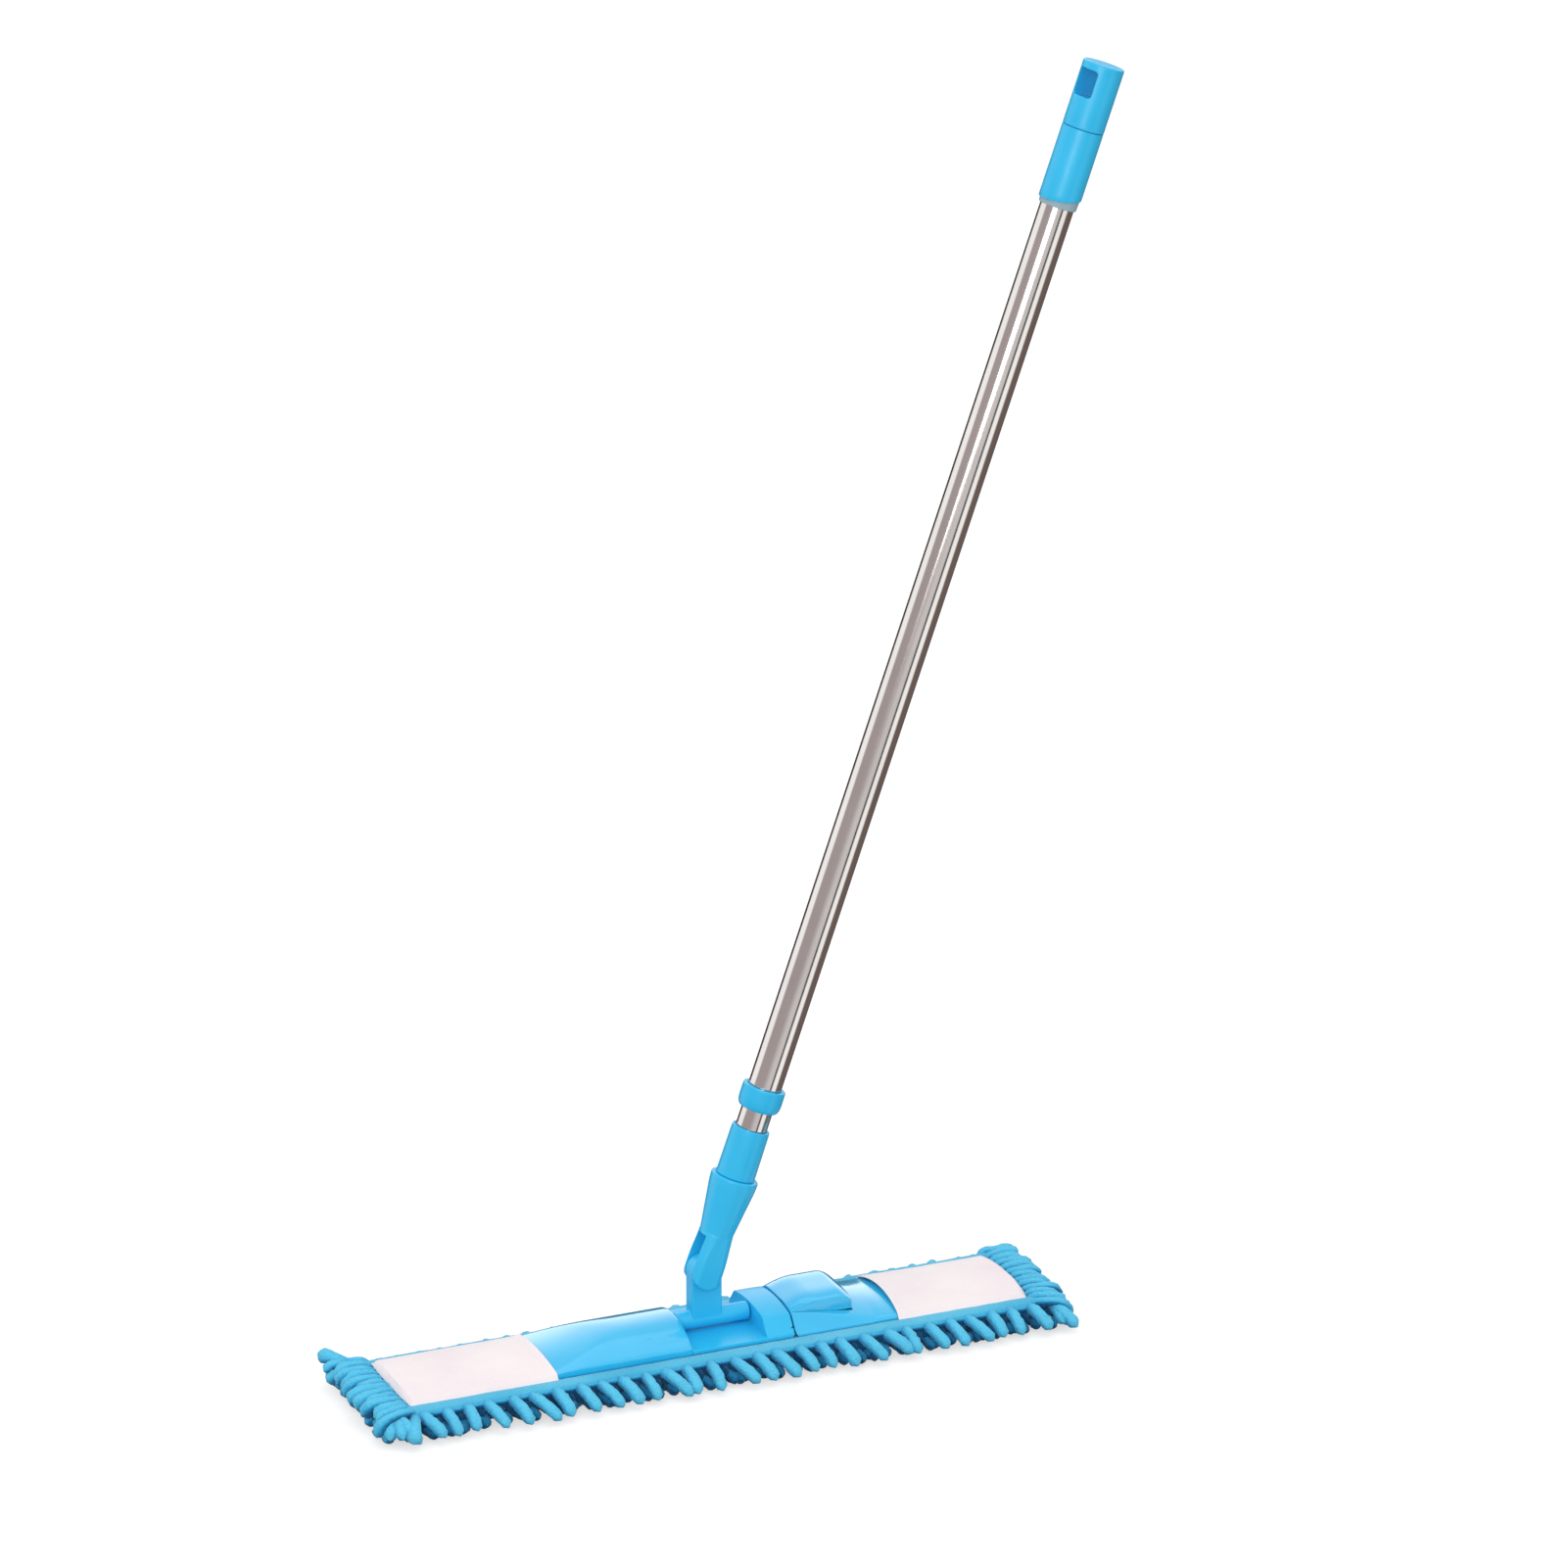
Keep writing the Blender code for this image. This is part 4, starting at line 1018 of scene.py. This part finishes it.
def add_end_tufts(bm, layer, rng, side):
    """At each end: gathered ribs that lie over the cushion and end in blobs, and more fingers under them, all
    painted with shade towards their roots and on their hidden sides.
    """
    inner = TIP_X + 1.0
    for i in range(RIB_COUNT):
        y = (i - (RIB_COUNT - 1) / 2) * RIB_PITCH
        x = inner - 4.0 * (y / PAD_HALF_WIDTH) ** 2 * (1 if side > 0 else 0.2)
        fan = 1 + rng.uniform(0.02, 0.10)
        end = PAD_HALF_LENGTH + rng.uniform(-1.0, 9.0)
        blob = rng.random() < 0.5
        tip_z = rng.uniform(8.0, 16.0)
        knots = [
            (side * (x + 4.5), y * 0.96, 18.6),
            (side * (x + 10), y + rng.uniform(-1, 1), 20.6),
            (side * (end - 9), y * fan + rng.uniform(-1.5, 1.5), 19.4),
            (side * end, y * fan + rng.uniform(-4, 4), tip_z),
        ]
        bulb = 0.62 if blob else 0.15
        # Painted shade: each rib is painted darker on its underside.
        add_tuft(bm, layer, knots, RIB_RADIUS * rng.uniform(0.9, 1.1), 0.2, 0.0, (0, 0, 1), bulb, 0.9)
    # Painted shade: the fingers under the ribs are painted dark at their roots.
    for i in range(11):
        y = (i - 5) * 10.5 + rng.uniform(-2, 2)
        out = PAD_HALF_LENGTH + rng.uniform(0.0, 5.0)
        knots = [
            (side * (PAD_HALF_LENGTH - 16), y * 0.95, 9.0),
            (side * (PAD_HALF_LENGTH - 6), y, 9.0),
            (side * out, y * 1.06 + rng.uniform(-4, 4), 5.4),
        ]
        add_tuft(bm, layer, knots, TUFT_RADIUS, 0.9, 0.3, (side * 0.8, 0, 0.6), 0.1)
    for corner in (-1, 1):
        for i in range(4):
            angle = math.radians(18 + 20 * i + rng.uniform(-5, 5))
            x0, y0 = PAD_HALF_LENGTH - 12, PAD_HALF_WIDTH - 10
            reach = rng.uniform(17.0, 22.0)
            dx, dy = math.cos(angle), math.sin(angle)
            knots = [
                (side * x0, corner * y0, 15.5),
                (side * (x0 + dx * reach * 0.5), corner * (y0 + dy * reach * 0.5), 16.0),
                (side * (x0 + dx * reach), corner * (y0 + dy * (reach + 4)), rng.uniform(6.0, 9.0)),
            ]
            open_to = (side * dx * 0.8, corner * dy * 0.8, 0.6)
            # Painted shade: a little darker at the root and on the side away from the corner.
            add_tuft(bm, layer, knots, TUFT_RADIUS, 0.3, 0.0, open_to, 0.15)


def add_stray_tufts(bm, layer):
    """Two fingers that stand away from the others, at the left end's corners."""
    back = [(-258, 44, 19), (-266, 54, 21), (-273, 62, 23), (-277, 69, 21)]
    front = [(-246, -46, 15), (-250, -56, 16), (-254, -66, 12), (-257, -71, 6)]
    for knots, open_to in ((back, (-0.5, 0, 0.8)), (front, (0, -0.8, 0.6))):
        # Painted shade: a little darker at the root and on the side away from the open direction.
        add_tuft(bm, layer, knots, TUFT_RADIUS, 0.3, 0.0, open_to, 0.35)


def add_sole_tufts(bm, layer, rng):
    """Short fingers all over the underside, pressed flat on the floor."""
    for i in range(38):
        for k in range(7):
            x = -PAD_HALF_LENGTH + 9 + i * 14.7 + (k % 2) * 6 + rng.uniform(-2, 2)
            y = (k - 3) * 15.0 + rng.uniform(-3, 3)
            if abs(x) > PAD_HALF_LENGTH - 6:
                continue
            angle = rng.uniform(0, 2 * math.pi)
            reach = rng.uniform(11.0, 16.0)
            knots = [
                (x, y, 10.5),
                (x + 0.3 * reach * math.cos(angle), y + 0.3 * reach * math.sin(angle), 6.4),
                (x + reach * math.cos(angle), y + reach * math.sin(angle), 5.1),
            ]
            # Painted shade: darker towards the root and on the side turned up towards the cushion.
            add_tuft(bm, layer, knots, TUFT_RADIUS * 0.95, 0.9, 0.3, (0, 0, -1))


def make_pile():
    rng = random.Random(SEED)
    bm = bmesh.new()
    # The depth attribute carries the painted shade of every tuft.
    layer = bm.verts.layers.float.new("depth")
    for side in (-1, 1):
        add_edge_tufts(bm, layer, rng, side)
    for side in (-1, 1):
        add_end_tufts(bm, layer, rng, side)
    add_stray_tufts(bm, layer)
    add_sole_tufts(bm, layer, rng)
    pile = new_object(bm)
    nodes = "chenille_pile_left", "chenille_pile_right"
    finish_piece(pile, "chenille_tufts", CHENILLE, None, "chenille", *nodes)
    pile.data.set_sharp_from_angle(angle=math.pi)
    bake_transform(pile)


QUILT_PITCH = 34.0


def make_cushion():
    """The pad's quilted body, crowned between its edges, with its underside painted dark as shade."""
    low = (-PAD_HALF_LENGTH, -PAD_HALF_WIDTH, PILE_ROOT - 1.5)
    high = (PAD_HALF_LENGTH, PAD_HALF_WIDTH, BACKING_TOP - 0.4)
    pad = softened(box_solid(low, high, 3.0), 2.2, 6)
    for vertex in pad.data.vertices:
        x, y, z = vertex.co / MM
        crown = 1 - (abs(y) / PAD_HALF_WIDTH) ** 4
        quilting = 0.6 + 0.4 * math.cos(2 * math.pi * x / QUILT_PITCH)
        lift = 0.25 * crown * quilting + 0.3 * wobble(x, y, z, 14.0)
        vertex.co.z += lift * MM * (1 if z > 16 else 0.6)
    # Painted shade: the top gets a light value, the underside the chenille's darkest.
    values = pad.data.attributes.new("depth", "FLOAT", "POINT")
    for index, vertex in enumerate(pad.data.vertices):
        values.data[index].value = 0.25 if vertex.co.z > 17 * MM else 1.0
    finish_piece(pad, "pad_cushion", CHENILLE, None, "chenille", "pad_backing_left", "pad_backing_right")
    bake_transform(pad)


CORNER_RADIUS = 15.0


def pad_edge(step_length):
    """Points round the pad's edge with their outward directions, corners rounded."""
    straight_x = PAD_HALF_LENGTH - CORNER_RADIUS
    straight_y = PAD_HALF_WIDTH - CORNER_RADIUS
    spots = []

    def run(start, end, out):
        count = max(2, round((end - start).length / step_length))
        for i in range(count):
            spots.append((start.lerp(end, i / count), out))

    def bend(centre, first_angle):
        count = max(6, round(CORNER_RADIUS * math.pi / 2 / step_length))
        for i in range(count):
            angle = first_angle + math.pi / 2 * i / count
            out = Vector((math.cos(angle), math.sin(angle)))
            spots.append((centre + out * CORNER_RADIUS, out))

    a, b = straight_x, straight_y
    run(Vector((-a, -PAD_HALF_WIDTH)), Vector((a, -PAD_HALF_WIDTH)), Vector((0, -1)))
    bend(Vector((a, -b)), -math.pi / 2)
    run(Vector((PAD_HALF_LENGTH, -b)), Vector((PAD_HALF_LENGTH, b)), Vector((1, 0)))
    bend(Vector((a, b)), 0.0)
    run(Vector((a, PAD_HALF_WIDTH)), Vector((-a, PAD_HALF_WIDTH)), Vector((0, 1)))
    bend(Vector((-a, b)), math.pi / 2)
    run(Vector((-PAD_HALF_LENGTH, b)), Vector((-PAD_HALF_LENGTH, -b)), Vector((-1, 0)))
    bend(Vector((-a, -b)), math.pi)
    return spots


# How far inside the pad's edge, and how high over its top
TAPE_SECTION = ((-13.4, 0.3), (-12.2, 0.9), (-9.0, 1.4), (-5.4, 1.0), (-3.4, 0.1), (-2.4, -1.4), (-2.6, -3.0))
TAPE_THICKNESS = 0.8


def tape_point(spot, out, inward, height):
    x, y = spot + out * inward
    ripple = 0.32 * wobble(x, y, height, 9.0) + 0.18 * wobble(x, y, height, 4.0, 3.0)
    return Vector((x + out.x * ripple, y + out.y * ripple, BACKING_TOP + height + ripple))


def make_tape():
    """The tape folded over the pad's edge, with a row of stitches."""
    spots = pad_edge(2.5)
    bm = bmesh.new()
    rows = [[bm.verts.new(tape_point(spot, out, d, h)) for d, h in TAPE_SECTION] for spot, out in spots]
    for row, following in zip(rows, rows[1:] + rows[:1]):
        for k in range(len(row) - 1):
            bm.faces.new((row[k], following[k], following[k + 1], row[k + 1]))
    tape = new_object(bm)
    thick = tape.modifiers.new("thickness", "SOLIDIFY")
    thick.thickness = TAPE_THICKNESS * MM
    thick.offset = 0.0
    thick.use_even_offset = True
    fine = tape.modifiers.new("fine", "SUBSURF")
    fine.levels = 1
    bake(tape)
    nodes = "binding_tape_left", "binding_tape_right"
    finish_piece(tape, "binding_tape_fold", TAPE, None, "binding_tape", *nodes)
    seam = [tape_point(spot, out, -8.6, 1.62) for spot, out in pad_edge(4.2)]
    stitches = make_stitches("binding_stitches", seam, True, THREAD)
    for piece in (tape, stitches):
        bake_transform(piece)


def make_stitches(name, points, closed, material):
    """Short thread stitches, one between each pair of points."""
    bm = bmesh.new()
    pairs = zip(points, points[1:] + points[:1]) if closed else zip(points, points[1:])
    for start, end in pairs:
        a, b = start.lerp(end, 0.14), start.lerp(end, 0.86)
        path = [a - Vector((0, 0, 0.4)), a.lerp(b, 0.25), a.lerp(b, 0.75), b - Vector((0, 0, 0.4))]
        tube_along(bm, path, [0.2, 0.34, 0.34, 0.2], 6)
    made = new_object(bm, name)
    made.data.materials.append(material)
    made.data.shade_smooth()
    return made


POCKET_HALF = 41.0
POCKET_THICKNESS = 0.9
MOUTH_BOW = 1.6


def pocket_outline_end(y, side):
    """Where a pocket's outer end is sewn down: nearly straight on the left, bowed on the right."""
    end = TIP_X + 4.6
    return end - (1.0 if side < 0 else 5.0) * (abs(y) / POCKET_HALF) ** 3


def pocket_height(x, y, side, mouth, lift):
    """The cloth lies over the wing, stands off it a little at its mouth, and is sewn down all round."""
    over = wing_height(side * min(abs(x), TIP_X), max(-PLATE_HALF_WIDTH, min(PLATE_HALF_WIDTH, y)))
    past_mouth = abs(x) - mouth
    gape = lift * math.exp(-past_mouth / 14.0) * (1 - (y / POCKET_HALF) ** 2)
    slack = 0.5 * wobble(x, y, 0, 34.0, side) + 0.22 * wobble(x, y, 0, 11.0, side)
    top = over + 0.9 + gape + slack * smooth_step(past_mouth / 20)
    seam = BACKING_TOP + 0.9
    to_side = smooth_step((POCKET_HALF - abs(y)) / 3.4)
    to_end = smooth_step((pocket_outline_end(y, side) - abs(x)) / 4.0)
    return seam + (top - seam) * to_side * to_end


def make_pocket(label, side, body, mouth, lift):
    bm = bmesh.new()
    rows = []
    columns = 72
    lines = 60
    for i in range(columns + 1):
        row = []
        for k in range(lines + 1):
            y = -POCKET_HALF + 2 * POCKET_HALF * k / lines
            start = mouth + MOUTH_BOW * (1 - (y / POCKET_HALF) ** 2)
            x = start + (pocket_outline_end(y, side) - start) * i / columns
            row.append(bm.verts.new((side * x, y, pocket_height(side * x, y, side, mouth, lift))))
        rows.append(row)
    for row, following in zip(rows, rows[1:]):
        for k in range(lines):
            bm.faces.new((row[k], following[k], following[k + 1], row[k + 1]))
    cloth = new_object(bm)
    thick = cloth.modifiers.new("thickness", "SOLIDIFY")
    thick.thickness = POCKET_THICKNESS * MM
    thick.offset = 0.0
    bake(cloth)
    rounded_edges(cloth, 0.3, 60.0, 2)
    name = f"pocket_{label}_cloth"
    finish_piece(cloth, name, POCKET, body, "pocket_cloth", f"pocket_{label}")
    pieces = []
    for number, inset in enumerate((3.2, 6.0)):
        points = []
        for k in range(31):
            y = (POCKET_HALF - 3.5) * (2 * k / 30 - 1)
            x = side * (mouth + MOUTH_BOW * (1 - (y / POCKET_HALF) ** 2) + inset)
            points.append(Vector((x, y, pocket_height(x, y, side, mouth, lift) + 0.55)))
        pieces.append(make_stitches(f"pocket_{label}_hem_{number + 1}", points, False, WHITE_THREAD))
    for piece in pieces:
        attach(piece, body)


# The studio

CAMERA_AIM = Vector((0.06443, 0.0, 0.44319))
CAMERA_DISTANCE = 5.84
CAMERA_AZIMUTH = math.radians(-23.24)
CAMERA_ELEVATION = math.radians(20.32)
CAMERA_LENS = 184.86  # on a 36 mm sensor
FORWARD = Vector((
    -math.sin(CAMERA_AZIMUTH) * math.cos(CAMERA_ELEVATION),
    math.cos(CAMERA_AZIMUTH) * math.cos(CAMERA_ELEVATION),
    -math.sin(CAMERA_ELEVATION),
))


def make_camera():
    data = bpy.data.cameras.new("camera")
    data.lens = CAMERA_LENS
    data.sensor_width = 36.0
    data.clip_end = 100.0
    camera = bpy.data.objects.new("camera", data)
    bpy.context.scene.collection.objects.link(camera)
    camera.location = CAMERA_AIM - FORWARD * CAMERA_DISTANCE
    camera.rotation_euler = FORWARD.to_track_quat("-Z", "Y").to_euler()
    bpy.context.scene.camera = camera


def make_light(name, place, size, power):
    data = bpy.data.lights.new(name, "AREA")
    data.shape = "RECTANGLE"
    data.size, data.size_y = size
    data.energy = power
    light = bpy.data.objects.new(name, data)
    bpy.context.scene.collection.objects.link(light)
    light.location = place
    aim = Vector((0.05, 0.0, 0.2)) - Vector(place)
    light.rotation_euler = aim.to_track_quat("-Z", "Y").to_euler()


DARK, BROWN, PALE = (0.07, 0.06, 0.06), (0.20, 0.15, 0.13), (0.80, 0.77, 0.77)
GREY_PINK, WHITE = (0.50, 0.44, 0.44), (1.25, 1.25, 1.25)
FRONT_SCREENS = [
    (-127, WHITE), (-84, WHITE), (-77, GREY_PINK), (-20, GREY_PINK), (10, PALE), (30, PALE), (35, DARK),
    (42, DARK), (48, WHITE), (73, WHITE), (82, BROWN), (120, BROWN),
]
BACK_LIGHT = (2.0, 1.95, 1.98)
LOW_SCREENS = [(-180, DARK), (-133, DARK)] + FRONT_SCREENS + [(179, DARK)]
BACK_STOPS = [(140, BACK_LIGHT), (179, BACK_LIGHT)]
HIGH_SCREENS = [(-180, BACK_LIGHT), (-145, BACK_LIGHT)] + FRONT_SCREENS + BACK_STOPS


def screens(tree, place, bearings):
    """The studio's dark and bright screens, by bearing from the object, 0 being towards the camera."""
    right = (math.cos(CAMERA_AZIMUTH), math.sin(CAMERA_AZIMUTH), 0.0)
    near = (math.sin(CAMERA_AZIMUTH), -math.cos(CAMERA_AZIMUTH), 0.0)
    parts = [
        add_node(tree, "VectorMath", {0: place, 1: direction}, operation="DOT_PRODUCT").outputs["Value"]
        for direction in (right, near)
    ]
    turn = share_between(tree, arithmetic(tree, "ARCTAN2", *parts), -math.pi, math.pi)
    return ramp(tree, turn, [((bearing + 180) / 360, colour) for bearing, colour in bearings])


def mixed_colour(tree, share, first, second):
    """Two colours mixed. Each is a fixed colour or another node's output."""
    first, second = ((*value, 1.0) if isinstance(value, tuple) else value for value in (first, second))
    return add_node(tree, "Mix", {0: share, 6: first, 7: second}, data_type="RGBA").outputs[2]


def make_world():
    """A pale room. Polished parts also see the screens, a bright wall behind, and a ceiling above them."""
    world = bpy.data.worlds.new("studio")
    bpy.context.scene.world = world
    world.use_nodes = True
    tree = world.node_tree
    tree.nodes.clear()
    place = add_node(tree, "TexCoord").outputs["Generated"]
    height = add_node(tree, "SeparateXYZ", {0: place}).outputs["Z"]
    low_walls = screens(tree, place, LOW_SCREENS)
    high_walls = screens(tree, place, HIGH_SCREENS)
    walls = mixed_colour(tree, share_between(tree, height, 0.03, 0.09), low_walls, high_walls)
    room = mixed_colour(tree, share_between(tree, height, 0.34, 0.75), walls, CEILING)
    polished = add_node(tree, "LightPath").outputs["Is Glossy Ray"]
    colour = mixed_colour(tree, polished, (1.0, 1.0, 1.0), room)
    background = add_node(tree, "Background", {"Color": colour, "Strength": ROOM_LIGHT})
    add_node(tree, "OutputWorld", {"Surface": background.outputs["Background"]})


ROOM_LIGHT = 0.92
CEILING = (0.80, 0.80, 0.80)
FLOOR_BOUNCE = 0.42  # how much light the floor throws back up
FLOOR_SHADE = (0.46, 0.46, 0.46)
FLOOR_WHITE = 0.62  # the part of the floor's own white that no shadow darkens


def make_floor():
    """A plain pale floor. It gives back little light, so that the underside of things stays in shade."""
    bm = bmesh.new()
    bmesh.ops.create_grid(bm, x_segments=2, y_segments=2, size=30000.0)
    floor = new_object(bm, "floor")
    made = bpy.data.materials.new("pale_floor")
    made.use_nodes = True
    tree = made.node_tree
    tree.nodes.clear()
    paths = add_node(tree, "LightPath")
    seen = paths.outputs["Is Camera Ray"]
    tint = mixed_colour(tree, seen, (FLOOR_BOUNCE,) * 3, FLOOR_SHADE)
    matt = add_node(tree, "BsdfDiffuse", {"Color": tint})
    glow = add_node(tree, "Emission", {"Color": (1.0, 1.0, 1.0, 1.0)})
    feed(tree, glow.inputs["Strength"], arithmetic(tree, "MULTIPLY", seen, FLOOR_WHITE))
    both = add_node(tree, "AddShader", {0: matt.outputs[0], 1: glow.outputs[0]})
    place = add_node(tree, "TexCoord").outputs["Object"]
    reflected = screens(tree, place, LOW_SCREENS)
    mirrored = add_node(tree, "Emission", {"Color": reflected, "Strength": ROOM_LIGHT})
    inputs = {0: paths.outputs["Is Glossy Ray"], 1: both.outputs[0], 2: mirrored.outputs[0]}
    add_node(tree, "OutputMaterial", {"Surface": add_node(tree, "MixShader", inputs).outputs[0]})
    floor.data.materials.append(made)


def make_studio():
    make_camera()
    make_world()
    make_floor()
    make_light("key", (-1.9, -3.2, 1.9), (2.0, 2.0), 44.0)
    make_light("top", (0.4, 0.4, 3.4), (2.5, 2.5), 10.0)
    bpy.context.scene.view_settings.view_transform = "Standard"


make_studio()
make_left_wing()
make_right_wing()
make_bracket()
make_pedal()
make_spring()
make_swivel()
make_socket()
make_ferrule()
make_tube("inner_tube", 11.35, "lower_pole")
make_tube("outer_tube", 12.2, "upper_pole")
make_collar()
make_grip()
make_cap()
dress_small_parts()
make_pile()
make_cushion()
make_tape()
make_pocket("left", -1, "head", 132.0, 0.8)
make_pocket("right", 1, "folding_wing", 140.0, 3.2)
